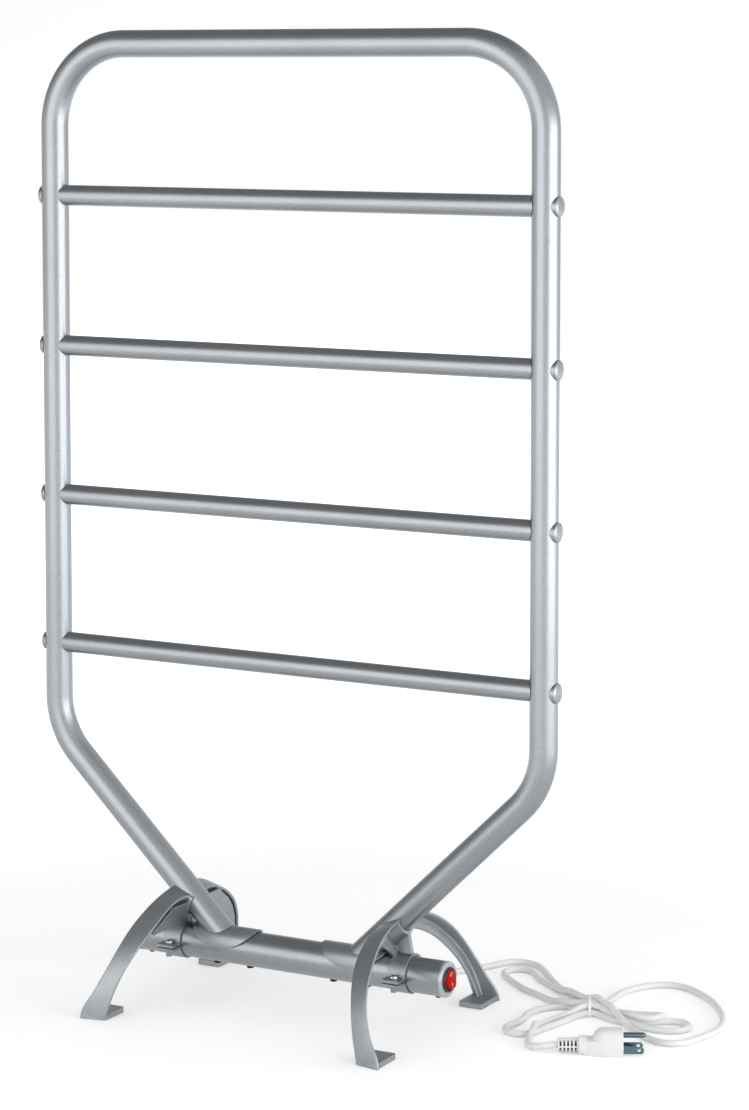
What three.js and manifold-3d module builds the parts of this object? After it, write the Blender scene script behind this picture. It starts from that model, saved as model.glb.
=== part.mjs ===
// Free-standing heated towel rack: a bent tube frame with four crossbars, carried on a
// horizontal base tube by two cast arch stands. Millimetres, +Z up, bars along X, origin on
// the floor midway between the four feet.
import * as THREE from 'three';
import { mergeVertices } from 'three/addons/utils/BufferGeometryUtils.js';
import Module from 'manifold-3d';

const wasm = await Module();
wasm.setup();

// ---------------------------------------------------------------- driving dimensions
const CLEARANCE = 0.3; // running and assembly gap between any two pieces
const BORE_SIDES = 12; // facets of the bore of a tube
const TUBE_SIDES = 18; // facets of the outside of a tube and of what is fitted round it

const RACK_HEIGHT = 890;
const RACK_WIDTH = 532;
const TUBE_OD = 25;
const TUBE_WALL = 1.5;
const BEND_RADIUS = 76;
const LEG_ANGLE = THREE.MathUtils.degToRad(44); // lower legs, measured from the floor
const LEG_FOOT_X = 62.5; // where a leg's axis meets the axis of the base tube

const BAR_COUNT = 4;
const LOW_BAR_RISE = 82.55; // lowest crossbar, above the corner between leg and upright
const BAR_OD = 19;
const BAR_WALL = 1.2;
const BAR_PLUG_DEPTH = 8; // solid end of a bar that takes its screw

const BASE_OD = 31.8;
const BASE_WALL = 1.6;
const BASE_LENGTH = 316;
const BASE_HEIGHT = 50.5;

const SADDLE_LENGTH = 68;
const SADDLE_CENTRE_X = 68;
const SADDLE_WALL = 2;
const SADDLE_WRAP = THREE.MathUtils.degToRad(86); // how far the pad reaches down each side
const SPIGOT_LENGTH = 26; // plug of the saddle inside the leg, above the pad
const SADDLE_BOSS_OD = 8; // bosses of the pad drop into the base tube and take the screws
const SADDLE_BOSS_LENGTH = 6;

const ARCH_HALF_SPAN = 117.3;
const ARCH_RISE = 114;
const ARCH_CENTRE_Z = -10;
const ARCH_DEPTH_FOOT = 15.3; // outer curve to inner curve, at the floor and at the crown
const ARCH_DEPTH_CROWN = 18;
const FLANGE_THICKNESS = 2.8;
const WEB_THICKNESS = 3.3;
const WEB_SETBACK = 1.6; // lip of the flange beyond the web, on the side of the rack's middle
const CROWN_DROP = 9; // the crown tilts with the leg tube: its inner edge lies this much lower
const FOOT_LENGTH = 34.3;
const FOOT_WIDTH = 22.5;
const FOOT_THICKNESS = 5;
const CRADLE_WALL = 2.5;
const RIB_THICKNESS = 4;

const CLAMP_X = 118;
const CLAMP_WIDTH = 17;
const CLAMP_WALL = 2.2;
const STRAP_WALL = 1.3; // lower half of a clamp
const CLAMP_SPLIT = 1; // gap between the two halves of a clamp
const CLAMP_SPLIT_DROP = 2.5; // the gap lies this far below the base tube's axis
const LUG_REACH = 30.5; // from the base tube's axis to the free edge of a lug
const LUG_THICKNESS = 2.6;
const LUG_BOSS_LENGTH = 6;
const LUG_BOSS_OD = 6;

const CAP_OD = 18;
const CAP_RISE = 2.6;
const CAP_STEM_OD = 11.2;
const CAP_STEM_LENGTH = 3.5;
const ACCESS_HOLE_OD = 12;

const BAR_SCREW = { shank: 4, length: 14, head: 8.5, rise: 2.8 };
const CLAMP_SCREW = { shank: 3.5, length: 10, head: 7.4, rise: 3 };
const SADDLE_SCREW = { shank: 4, length: 43, head: 7.5, rise: 2.2 };
const TOE_SCREW = { shank: 3.5, length: 33, head: 7.5, rise: 2.2 };
const END_SCREW = { shank: 2.4, length: 4.6, head: 5, rise: 1.6 };
const SADDLE_SCREW_X = 79;
const TOE_SCREW_X = 44;
const END_SCREW_INSET = 7; // from the end of the base tube

const END_CAP_RIM = 3;
const END_CAP_OD = 32.4;
const END_CAP_DEPTH = 16;

const BEZEL_OD = 22.6;
const BEZEL_RISE = 1.8;
const SWITCH_BODY_OD = 20.6;
const SWITCH_BODY_DEPTH = 20;
const SWITCH_WELL_OD = 19.2;
const SWITCH_WELL_DEPTH = 8.5;
const ROCKER_TRAVEL = THREE.MathUtils.degToRad(16); // stop to stop
const ROCKER_PIVOT_DEPTH = 3.2; // below the bezel's face
const TRUNNION_OD = 2.4;
const TERMINAL = { length: 8, width: 4.8, thickness: 0.8 };

const HEATER_OD = 5;
const LEAD_OD = 2.4;
const FUSE_OD = 7;
const FUSE_LENGTH = 24;

const CORD_OD = 6;
const CORD_EXIT_X = 20;
const CORD_JACKET_END = 5; // the jacket stops this far inside the bore of the base tube
const GROMMET_FLANGE_OD = 15;
const GROMMET_FLANGE_THICKNESS = 2;
const GROMMET_NECK_OD = 9.5;
const GROMMET_LIP_OD = 11.6;
const GROMMET_NOSE_LENGTH = 15;
const GROMMET_NOSE_TIP_OD = 8.2;
const HANK_HEIGHT = 15;
const TIE_WIDTH = 2.6;
const TIE_THICKNESS = 1;
const TIE_SPAN = 31.4; // inside width of the tie, across the bundle
const TIE_CORE_HEIGHT = 13.2;

const PLUG_LENGTH = 35;
const PLUG_WIDTH = 24;
const PLUG_HEIGHT = 22;
const PLUG_ANGLE = THREE.MathUtils.degToRad(28); // how the plug lies on the floor
const RELIEF_LENGTH = 22;
const RELIEF_OD = 13.6;
const RELIEF_TIP_OD = 12.4;
const RELIEF_Z = 7.4; // axis of the strain relief above the floor
const COLLAR_OD = 17;
const COLLAR_LENGTH = 3.5;
const PLUG_REAR_HEIGHT = 14.5; // low part of the plug, behind the hump
const RELIEF_SLOTS = 5;
const BLADE = { length: 18, height: 6.35, thickness: 1.5, spacing: 12.7, hole: 3 };
const BLADE_Z = 4.8;
const GROUND_PIN_OD = 4.8;
const GROUND_PIN_LENGTH = 20.5;
const GROUND_PIN_Z = 16.4;
const PIN_SEAT = 7; // depth of a blade or pin in the plug's body

// ---------------------------------------------------------------- derived places
const tubeR = TUBE_OD / 2;
const tubeBoreR = tubeR - TUBE_WALL;
const boreFlatR = tubeBoreR * Math.cos(Math.PI / BORE_SIDES); // to the flats of the faceted bore
const barR = BAR_OD / 2;
const baseR = BASE_OD / 2;
const baseBoreR = baseR - BASE_WALL;
const baseFlatR = baseBoreR * Math.cos(Math.PI / BORE_SIDES);
const uprightX = RACK_WIDTH / 2 - tubeR;
const topZ = RACK_HEIGHT - tubeR;
const kneeZ = BASE_HEIGHT + (uprightX - LEG_FOOT_X) * Math.tan(LEG_ANGLE);
const barPitch = (topZ - kneeZ - LOW_BAR_RISE) / BAR_COUNT;
const saddleR = baseR + CLEARANCE + SADDLE_WALL;
const clampR = baseR + CLEARANCE + CLAMP_WALL;
const lugScrewY = clampR + CLEARANCE + CLAMP_SCREW.head / 2;
const splitZ = BASE_HEIGHT - CLAMP_SPLIT_DROP;
const capSeatX = BASE_LENGTH / 2 + CLEARANCE;
const capFaceX = capSeatX + END_CAP_RIM;
const bezelFaceX = capFaceX + CLEARANCE + BEZEL_RISE;

// ---------------------------------------------------------------- materials
const finish = (color, roughness, metalness) =>
  new THREE.MeshStandardMaterial({ color, roughness, metalness });
const satinSteel = finish(0x8d9194, 0.38, 0.85);
const castMetal = finish(0x84888b, 0.45, 0.8);
const zincScrew = finish(0xc9ccce, 0.3, 1);
const blackScrew = finish(0x2a2a2c, 0.5, 0.6);
const greyPlastic = finish(0xb9bec1, 0.5, 0);
const blackPlastic = finish(0x17181a, 0.45, 0);
const redRocker = finish(0xd8121a, 0.3, 0);
const brass = finish(0xb99b52, 0.35, 1);
const silicone = finish(0xb8452f, 0.6, 0);
const ceramicSleeve = finish(0xe8e4da, 0.7, 0);
const whitePvc = finish(0xf1f2f2, 0.45, 0);
const nickel = finish(0xaab0b4, 0.25, 1);

// ---------------------------------------------------------------- geometry helpers
const rack = new THREE.Group();

function addMesh(name, geometry, material, parent = rack) {
  const mesh = new THREE.Mesh(geometry, material);
  mesh.name = name;
  parent.add(mesh);
  return mesh;
}

function solid(geometry) {
  let g = geometry.clone();
  g.deleteAttribute('normal');
  g.deleteAttribute('uv');
  g = mergeVertices(g, 1e-4);
  return new wasm.Manifold(new wasm.Mesh({
    numProp: 3,
    vertProperties: new Float32Array(g.attributes.position.array),
    triVerts: new Uint32Array(g.index.array),
  }));
}

function geometryOf(manifold) {
  const mesh = manifold.getMesh();
  const g = new THREE.BufferGeometry();
  g.setAttribute('position', new THREE.BufferAttribute(new Float32Array(mesh.vertProperties), 3));
  g.setIndex(new THREE.BufferAttribute(new Uint32Array(mesh.triVerts), 1));
  const shaded = g.toNonIndexed();
  shaded.computeVertexNormals();
  return shaded;
}

const join = (...solids) => solids.reduce((a, b) => a.add(b));
const cut = (body, ...tools) => tools.reduce((a, b) => a.subtract(b), body);

// Round bar between two points.
function rod(from, to, radius, sides = 24, radiusEnd = radius) {
  const axis = to.clone().sub(from);
  const g = new THREE.CylinderGeometry(radiusEnd, radius, axis.length(), sides);
  g.applyQuaternion(new THREE.Quaternion().setFromUnitVectors(
    new THREE.Vector3(0, 1, 0), axis.clone().normalize()));
  const middle = from.clone().add(to).multiplyScalar(0.5);
  return g.translate(middle.x, middle.y, middle.z);
}

const v3 = (x, y, z) => new THREE.Vector3(x, y, z);
const rodX = (x0, x1, y, z, r, sides) => rod(v3(x0, y, z), v3(x1, y, z), r, sides);
const rodZ = (x, y, z0, z1, r, sides) => rod(v3(x, y, z0), v3(x, y, z1), r, sides);

function block(x0, x1, y0, y1, z0, z1) {
  return new THREE.BoxGeometry(x1 - x0, y1 - y0, z1 - z0)
    .translate((x0 + x1) / 2, (y0 + y1) / 2, (z0 + z1) / 2);
}

// Flat outline in (x, z), extruded from y0 to y1.
function slabY(points, y0, y1) {
  const shape = new THREE.Shape(points.map(([x, z]) => new THREE.Vector2(x, z)));
  return new THREE.ExtrudeGeometry(shape, { depth: y1 - y0, bevelEnabled: false })
    .applyMatrix4(new THREE.Matrix4().set(
      1, 0, 0, 0, 0, 0, -1, y1, 0, 1, 0, 0, 0, 0, 0, 1));
}

// Flat outline in (y, z), extruded from x0 to x1.
function slabX(points, x0, x1) {
  const shape = new THREE.Shape(points.map(([y, z]) => new THREE.Vector2(y, z)));
  return new THREE.ExtrudeGeometry(shape, { depth: x1 - x0, bevelEnabled: false })
    .applyMatrix4(new THREE.Matrix4().set(
      0, 0, 1, x0, 1, 0, 0, 0, 0, 1, 0, 0, 0, 0, 0, 1));
}

// Line of straight runs and round bends, with a section only where it is needed.
class BentPath extends THREE.Curve {
  constructor(corners, radius, stepsPerRightAngle) {
    super();
    this.stations = [];
    const put = (point, tangent) => this.stations.push({ point, tangent });
    corners.forEach((corner, i) => {
      const before = i ? corner.clone().sub(corners[i - 1]).normalize() : null;
      const after = i < corners.length - 1 ? corners[i + 1].clone().sub(corner).normalize() : null;
      if (!before || !after) {
        put(corner.clone(), (after || before).clone());
        return;
      }
      const turn = before.angleTo(after);
      const trim = radius * Math.tan(turn / 2);
      const side = after.clone().addScaledVector(before, -before.dot(after)).normalize();
      const start = corner.clone().addScaledVector(before, -trim);
      const steps = Math.max(2, Math.ceil((turn / (Math.PI / 2)) * stepsPerRightAngle));
      for (let k = 0; k <= steps; k += 1) {
        const a = (turn * k) / steps;
        put(
          start.clone().addScaledVector(before, radius * Math.sin(a))
            .addScaledVector(side, radius * (1 - Math.cos(a))),
          before.clone().multiplyScalar(Math.cos(a)).addScaledVector(side, Math.sin(a)),
        );
      }
    });
  }

  at(t, key) {
    const last = this.stations.length - 1;
    const i = Math.min(last, Math.max(0, Math.round(t * last)));
    return this.stations[i][key].clone();
  }

  getPoint(t) { return this.at(t, 'point'); }
  getPointAt(t) { return this.at(t, 'point'); }
  getTangent(t) { return this.at(t, 'tangent'); }
  getTangentAt(t) { return this.at(t, 'tangent'); }
}

function pipe(path, radius, sides) {
  const section = new THREE.Shape().absarc(0, 0, radius, 0, Math.PI * 2);
  return new THREE.ExtrudeGeometry(section, {
    steps: path.stations.length - 1,
    curveSegments: sides / 2,
    bevelEnabled: false,
    extrudePath: path,
  });
}

// Screw with a low domed head: it stands on z = 0, shank down.
function screwGeometry({ shank, length, head, rise }, sides = 12) {
  return new THREE.LatheGeometry([
    new THREE.Vector2(0, -length),
    new THREE.Vector2(shank / 2, -length),
    new THREE.Vector2(shank / 2, 0),
    new THREE.Vector2(head / 2, 0),
    new THREE.Vector2(head / 2, rise * 0.35),
    new THREE.Vector2(head * 0.36, rise * 0.82),
    new THREE.Vector2(0, rise),
  ], sides).rotateX(Math.PI / 2);
}

const mirrorName = (side) => (side < 0 ? 'left' : 'right');

// Mirror a geometry across the middle plane and keep its faces pointing out.
function sided(geometry, side) {
  if (side > 0) return geometry.clone();
  const g = geometry.clone().scale(-1, 1, 1);
  if (g.index) {
    const a = g.index.array;
    for (let i = 0; i < a.length; i += 3) [a[i], a[i + 1]] = [a[i + 1], a[i]];
  } else {
    Object.values(g.attributes).forEach((attribute) => {
      const { array, itemSize } = attribute;
      for (let i = 0; i < array.length; i += 3 * itemSize) {
        for (let k = 0; k < itemSize; k += 1) {
          [array[i + k], array[i + itemSize + k]] = [array[i + itemSize + k], array[i + k]];
        }
      }
    });
  }
  return g;
}

// ---------------------------------------------------------------- bent tube frame
const barHeights = Array.from({ length: BAR_COUNT }, (_, i) => topZ - barPitch * (i + 1));

const frameCorners = (y) => [
  v3(LEG_FOOT_X, y, BASE_HEIGHT),
  v3(uprightX, y, kneeZ),
  v3(uprightX, y, topZ),
  v3(-uprightX, y, topZ),
  v3(-uprightX, y, kneeZ),
  v3(-LEG_FOOT_X, y, BASE_HEIGHT),
];

const saddleClearance = solid(rodX(-BASE_LENGTH, BASE_LENGTH, 0, BASE_HEIGHT, saddleR + CLEARANCE, TUBE_SIDES));
const screwHoleR = BAR_SCREW.shank / 2 + CLEARANCE;

const frameLine = new BentPath(frameCorners(0), BEND_RADIUS, 6);
let frameBody = cut(
  solid(pipe(frameLine, tubeR, TUBE_SIDES)), solid(pipe(frameLine, tubeBoreR, BORE_SIDES)), saddleClearance);
barHeights.forEach((z) => {
  frameBody = cut(
    frameBody,
    solid(rodX(-uprightX, uprightX, 0, z, screwHoleR, 6)),
    solid(rodX(-uprightX - TUBE_OD, -uprightX, 0, z, ACCESS_HOLE_OD / 2, 8)),
    solid(rodX(uprightX, uprightX + TUBE_OD, 0, z, ACCESS_HOLE_OD / 2, 8)),
  );
});
addMesh('frame_tube', geometryOf(frameBody), satinSteel);

// ---------------------------------------------------------------- crossbars and their screws
const upright = (side) => solid(
  rodZ(side * uprightX, 0, -BAR_OD, BAR_OD, tubeR + CLEARANCE, 20));
const barBody = cut(
  solid(rodX(-uprightX, uprightX, 0, 0, barR, 16)),
  upright(-1), upright(1),
  solid(rodX(-uprightX + tubeR + BAR_PLUG_DEPTH, uprightX - tubeR - BAR_PLUG_DEPTH,
    0, 0, barR - BAR_WALL, 12)),
  solid(rodX(-uprightX, uprightX, 0, 0, screwHoleR, 6)),
);
const barGeometry = geometryOf(barBody);

// The head's underside meets the curved bore at the head's own radius.
const barScrewSeat = Math.sqrt(boreFlatR ** 2 - (BAR_SCREW.head / 2) ** 2) - CLEARANCE;
const barScrewGeometry = screwGeometry(BAR_SCREW, 6);

const domeSag = tubeR - Math.sqrt(tubeR ** 2 - (CAP_OD / 2) ** 2);
const capBody = cut(
  solid(new THREE.LatheGeometry([
    new THREE.Vector2(0, -domeSag),
    new THREE.Vector2(CAP_OD / 2, -domeSag),
    new THREE.Vector2(CAP_OD / 2, CAP_RISE * 0.3),
    new THREE.Vector2(CAP_OD * 0.4, CAP_RISE * 0.74),
    new THREE.Vector2(0, CAP_RISE),
  ], 12).rotateZ(-Math.PI / 2)),
  solid(rodZ(-tubeR, 0, -CAP_OD, CAP_OD, tubeR + CLEARANCE, 16)),
);
const capStem = solid(rodX(-CAP_STEM_LENGTH, CAP_RISE * 0.5, 0, 0, CAP_STEM_OD / 2, 8));
const capGeometry = geometryOf(join(capBody, capStem));

barHeights.forEach((z, i) => {
  addMesh(`crossbar_${i + 1}`, barGeometry.clone(), satinSteel).position.set(0, 0, z);
  [-1, 1].forEach((side) => {
    const name = `${i + 1}_${mirrorName(side)}`;
    const screw = addMesh(`bar_screw_${name}`, barScrewGeometry.clone(), zincScrew);
    screw.rotation.y = side * Math.PI / 2;
    screw.position.set(side * (uprightX - barScrewSeat), 0, z);
    const cap = addMesh(`bar_cap_${name}`, capGeometry.clone(), satinSteel);
    cap.rotation.z = side > 0 ? 0 : Math.PI;
    cap.position.set(side * (uprightX + tubeR), 0, z);
  });
});

// ---------------------------------------------------------------- base tube
// Each leg's wires pass down through the pad and the wall behind the saddle's spigot.
const heaterY = boreFlatR - HEATER_OD / 2 - CLEARANCE;
const legLine = (s, y = 0) => v3(
  LEG_FOOT_X + s * Math.cos(LEG_ANGLE), y, BASE_HEIGHT + s * Math.sin(LEG_ANGLE));
const heaterWay = solid(rod(legLine(0, heaterY), legLine(90, heaterY), HEATER_OD / 2 + CLEARANCE, 10));

const hole = (x, z0, z1, screw) => solid(rodZ(x, 0, z0, z1, screw.shank / 2 + CLEARANCE, 8));
const baseBody = cut(
  solid(rodX(-BASE_LENGTH / 2, BASE_LENGTH / 2, 0, BASE_HEIGHT, baseR, TUBE_SIDES)),
  solid(rodX(-BASE_LENGTH, BASE_LENGTH, 0, BASE_HEIGHT, baseBoreR, BORE_SIDES)),
  solid(rod(v3(CORD_EXIT_X, 0, BASE_HEIGHT), v3(CORD_EXIT_X, BASE_OD, BASE_HEIGHT),
    GROMMET_NECK_OD / 2 + CLEARANCE, 16)),
  ...[-1, 1].flatMap((side) => [
    solid(sided(geometryOf(heaterWay), side)),
    hole(side * SADDLE_SCREW_X, 0, BASE_HEIGHT, SADDLE_SCREW),
    hole(side * TOE_SCREW_X, 0, BASE_HEIGHT, TOE_SCREW),
    hole(side * (BASE_LENGTH / 2 - END_SCREW_INSET), 0, BASE_HEIGHT, END_SCREW),
    ...[SADDLE_SCREW_X, TOE_SCREW_X].map((x) => solid(rodZ(
      side * x, 0, BASE_HEIGHT, BASE_HEIGHT + BASE_OD, SADDLE_BOSS_OD / 2 + CLEARANCE, 10))),
  ]),
);
addMesh('base_tube', geometryOf(baseBody), satinSteel);

// ---------------------------------------------------------------- saddles under the legs
// A thin pad wraps the top of the base tube: its edge is an ellipse on the tube's skin.
const padEdge = Array.from({ length: 17 }, (_, i) => {
  const u = -1 + i / 8;
  const angle = SADDLE_WRAP * Math.sqrt(Math.max(0, 1 - u * u));
  return [SADDLE_CENTRE_X + (u * SADDLE_LENGTH) / 2, BASE_HEIGHT + saddleR * Math.cos(angle)];
});
const padOutline = [
  ...padEdge,
  [SADDLE_CENTRE_X + SADDLE_LENGTH / 2, BASE_HEIGHT + BASE_OD],
  [SADDLE_CENTRE_X - SADDLE_LENGTH / 2, BASE_HEIGHT + BASE_OD],
];
const spigotR = boreFlatR - CLEARANCE;
const rearSlotY = heaterY + HEATER_OD; // the wires pass behind the spigot, inside the leg
const spigot = cut(
  solid(rod(legLine(0), legLine((saddleR + spigotR) / Math.tan(LEG_ANGLE) + SPIGOT_LENGTH),
    spigotR, 16)),
  solid(rod(legLine(0, rearSlotY), legLine(BASE_LENGTH, rearSlotY), HEATER_OD + 3, 12)),
  solid(block(-BASE_LENGTH, BASE_LENGTH, -BASE_OD, BASE_OD, 0, BASE_HEIGHT)),
);
const baseClearance = solid(rodX(-BASE_LENGTH, BASE_LENGTH, 0, BASE_HEIGHT, baseR + CLEARANCE, TUBE_SIDES));
const pad = solid(rodX(
  SADDLE_CENTRE_X - SADDLE_LENGTH, SADDLE_CENTRE_X + SADDLE_LENGTH, 0, BASE_HEIGHT, saddleR, TUBE_SIDES))
  .intersect(solid(slabY(padOutline, -BASE_OD, BASE_OD)));
const saddleBoss = (x) => solid(rodZ(x, 0, BASE_HEIGHT + baseBoreR - SADDLE_BOSS_LENGTH,
  BASE_HEIGHT + baseR + 1, SADDLE_BOSS_OD / 2, 10));
const toeHoleTop = BASE_HEIGHT - baseR - CLEARANCE + TOE_SCREW.length + CLEARANCE;
const saddleBody = cut(
  join(cut(join(pad, spigot), baseClearance), saddleBoss(SADDLE_SCREW_X), saddleBoss(TOE_SCREW_X)),
  heaterWay,
  hole(SADDLE_SCREW_X, 0, BASE_HEIGHT + BASE_OD, SADDLE_SCREW),
  hole(TOE_SCREW_X, 0, toeHoleTop, TOE_SCREW),
);
const saddleGeometry = geometryOf(saddleBody);
const saddleScrewGeometry = screwGeometry(SADDLE_SCREW, 8);
const toeScrewGeometry = screwGeometry(TOE_SCREW, 8);
const underBaseZ = BASE_HEIGHT - baseR - CLEARANCE;

[-1, 1].forEach((side) => {
  addMesh(`saddle_${mirrorName(side)}`, sided(saddleGeometry, side), castMetal);
  const heel = addMesh(`saddle_screw_${mirrorName(side)}`, saddleScrewGeometry.clone(), blackScrew);
  heel.rotation.x = Math.PI;
  heel.position.set(side * SADDLE_SCREW_X, 0, underBaseZ);
  const toe = addMesh(`toe_screw_${mirrorName(side)}`, toeScrewGeometry.clone(), blackScrew);
  toe.rotation.x = Math.PI;
  toe.position.set(side * TOE_SCREW_X, 0, underBaseZ);
});


// ---------------------------------------------------------------- cast arch stands
// The casting is drawn as an upright arch: the angle psi runs from one foot over the crown
// to the other, and the splay moves each section outwards, wider at the feet and tilted at
// the crown to follow the leg tube. Rows: psi in degrees, inner edge, outer edge.
const legSections = [
  [0, 132.5, 154], [5, 130, 152.2], [7, 129.3, 150.5], [10, 128, 145.2], [15, 125.8, 140.8], [25, 120.8, 133.4],
  [35, 115, 129], [45, 110, 126], [55, 107.4, 122.9], [65, 106.6, 120.5], [75, 104.6, 119],
  [90, 98, 118],
];

function sectionAt(psi) {
  const rows = legSections;
  const i = Math.max(1, rows.findIndex((row) => row[0] >= psi - 1e-9));
  const [a0, in0, out0] = rows[i - 1];
  const [a1, in1, out1] = rows[i];
  const t = (psi - a0) / (a1 - a0);
  const drop = THREE.MathUtils.smoothstep(psi, 62, 88) * CROWN_DROP;
  return { inner: in0 + (in1 - in0) * t, outer: out0 + (out1 - out0) * t, drop };
}

const archPoint = (psi, inset) => {
  const a = THREE.MathUtils.degToRad(psi);
  // Polar radius of the ellipse at this angle, so that inset curves stay concentric.
  const r = 1 / Math.hypot(Math.cos(a) / (ARCH_HALF_SPAN - inset), Math.sin(a) / (ARCH_RISE - inset));
  return [r * Math.cos(a), ARCH_CENTRE_Z + r * Math.sin(a)];
};

const floorAngle = (inset) => THREE.MathUtils.radToDeg(
  Math.asin(-ARCH_CENTRE_Z / (ARCH_HALF_SPAN - inset)));
const archDepth = (psi) => THREE.MathUtils.lerp(
  ARCH_DEPTH_FOOT, ARCH_DEPTH_CROWN, Math.sin(THREE.MathUtils.degToRad(psi)) ** 4);

// A loft along the arch, foot to foot.  The unit box's length runs along psi, its depth lies
// between two insets from the outer curve, and its width between the section's two edges.
function archLoft(outerInset, insetOf, edgesOf, steps = 20) {
  const g = new THREE.BoxGeometry(1, 1, 1, 1, 1, steps);
  const p = g.attributes.position;
  for (let i = 0; i < p.count; i += 1) {
    const u = -2 * p.getZ(i); // -1 at the front foot, +1 at the rear foot
    const deep = p.getY(i) < 0;
    const inset = deep ? insetOf(THREE.MathUtils.lerp(90, 0, Math.abs(u))) : outerInset;
    const psi = THREE.MathUtils.lerp(90, floorAngle(inset) - 1, Math.abs(u));
    const [y, z] = archPoint(psi, inset);
    const section = sectionAt(psi);
    const [inner, outer] = edgesOf(section);
    const x = p.getX(i) < 0 ? inner : outer;
    const tilt = (section.drop * (section.outer - x)) / (section.outer - section.inner);
    p.setXYZ(i, x, Math.sign(u) * y, z - tilt);
  }
  return g;
}

const flange = solid(archLoft(0, () => FLANGE_THICKNESS, ({ inner, outer }) => [inner, outer]));
const web = solid(archLoft(FLANGE_THICKNESS / 2, archDepth, ({ inner }) => [
  inner + WEB_SETBACK, inner + WEB_SETBACK + WEB_THICKNESS]));

// Between the arch and the clamp the web comes down in two pointed spandrels, and a rib
// under the cradle stands on the clamp.
const crownInner = archPoint(90, archDepth(90))[1];
const clampTop = BASE_HEIGHT + clampR;
const webInnerX = (z) => CLAMP_X - CLAMP_WIDTH / 2 - 1 - (z - clampTop) * 0.36;
const spandrel = (side) => {
  const points = [
    [side * 40, crownInner - 4], [side * 33, crownInner - 5], [side * 28, crownInner - 5.2],
    [side * 21.5, crownInner - 8.5], [side * 13.5, crownInner - 14.5],
    [side * 7.5, crownInner - 20], [side * 5.5, BASE_HEIGHT + baseR + 1],
    [side * 1.6, clampTop - 3], [side * 1.6, clampTop + 6], [side * 1.6, crownInner + 4],
    [side * 40, crownInner + 4],
  ];
  const sheared = slabX(side > 0 ? points.reverse() : points, 0, WEB_THICKNESS);
  const p = sheared.attributes.position;
  for (let i = 0; i < p.count; i += 1) p.setX(i, p.getX(i) + webInnerX(p.getZ(i)));
  return solid(sheared);
};

const legAxisZ = (x) => BASE_HEIGHT + (x - LEG_FOOT_X) * Math.tan(LEG_ANGLE);
const legUnder = (x, r) => legAxisZ(x) - r / Math.cos(LEG_ANGLE);
const cradleR = tubeR + CLEARANCE + CRADLE_WALL;
const clampOuterX = CLAMP_X + CLAMP_WIDTH / 2;
const clampInnerX = CLAMP_X - CLAMP_WIDTH / 2;
// The casting's side view: its end faces lean with the legs.
const innerLine = [[97.5, 94], [webInnerX(clampTop), clampTop]];
const outerLine = [[118, 101.5], [122.4, 85.5], [clampOuterX - 0.6, clampTop - 1]];
const cradle = solid(rod(legLine(20), legLine(100), cradleR, TUBE_SIDES))
  .intersect(solid(slabY([
    innerLine[0], innerLine[1], [outerLine[1][0], legUnder(outerLine[1][0], cradleR) - 4],
    outerLine[1], outerLine[0],
  ], -TUBE_OD, TUBE_OD)));
const rib = solid(slabY([
  [webInnerX(clampTop) + 5.4, clampTop - 1.2], [clampOuterX - 1, clampTop - 1.2],
  [outerLine[1][0] + 1.6, clampTop + 6], [outerLine[1][0] - 0.6, 88],
  [webInnerX(80) + 2, 82], [webInnerX(80) + 2, 77],
], -RIB_THICKNESS / 2, RIB_THICKNESS / 2));

const lugScrewHole = (y) => solid(rodZ(CLAMP_X, y, BASE_HEIGHT - LUG_REACH,
  BASE_HEIGHT + LUG_REACH, CLAMP_SCREW.shank / 2 + CLEARANCE, 8));
const clampBore = solid(rodX(0, BASE_LENGTH, 0, BASE_HEIGHT, baseR + CLEARANCE, TUBE_SIDES));
const clampRing = solid(rodX(clampInnerX, clampOuterX, 0, BASE_HEIGHT, clampR, TUBE_SIDES));
const strapRing = solid(rodX(
  clampInnerX, clampOuterX, 0, BASE_HEIGHT, baseR + CLEARANCE + STRAP_WALL, TUBE_SIDES));
const lugs = (z0, z1) => solid(block(clampInnerX, clampOuterX, -LUG_REACH, LUG_REACH, z0, z1));
const splitTop = splitZ + CLAMP_SPLIT / 2;
const splitBottom = splitZ - CLAMP_SPLIT / 2;
const keepAbove = (z) => solid(block(0, BASE_LENGTH, -BASE_LENGTH, BASE_LENGTH, z, RACK_HEIGHT));

const footPlate = (side) => {
  const y1 = ARCH_HALF_SPAN - 1.8;
  const x0 = sectionAt(floorAngle(0)).inner - 0.7;
  const [a, b] = side > 0 ? [y1 - FOOT_LENGTH, y1] : [-y1, FOOT_LENGTH - y1];
  return solid(block(x0, x0 + FOOT_WIDTH, a, b, 0, FOOT_THICKNESS));
};

const standBody = cut(
  join(
    flange, web, spandrel(1), spandrel(-1), cradle, rib,
    clampRing.intersect(keepAbove(splitTop)), lugs(splitTop, splitTop + LUG_THICKNESS),
    footPlate(1), footPlate(-1),
  ),
  solid(block(0, BASE_LENGTH, -BASE_LENGTH, BASE_LENGTH, -BASE_LENGTH, 0)),
  solid(rod(legLine(0), legLine(140), tubeR + CLEARANCE, TUBE_SIDES)),
  clampBore, lugScrewHole(-lugScrewY), lugScrewHole(lugScrewY),
);
const standGeometry = geometryOf(standBody);

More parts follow.
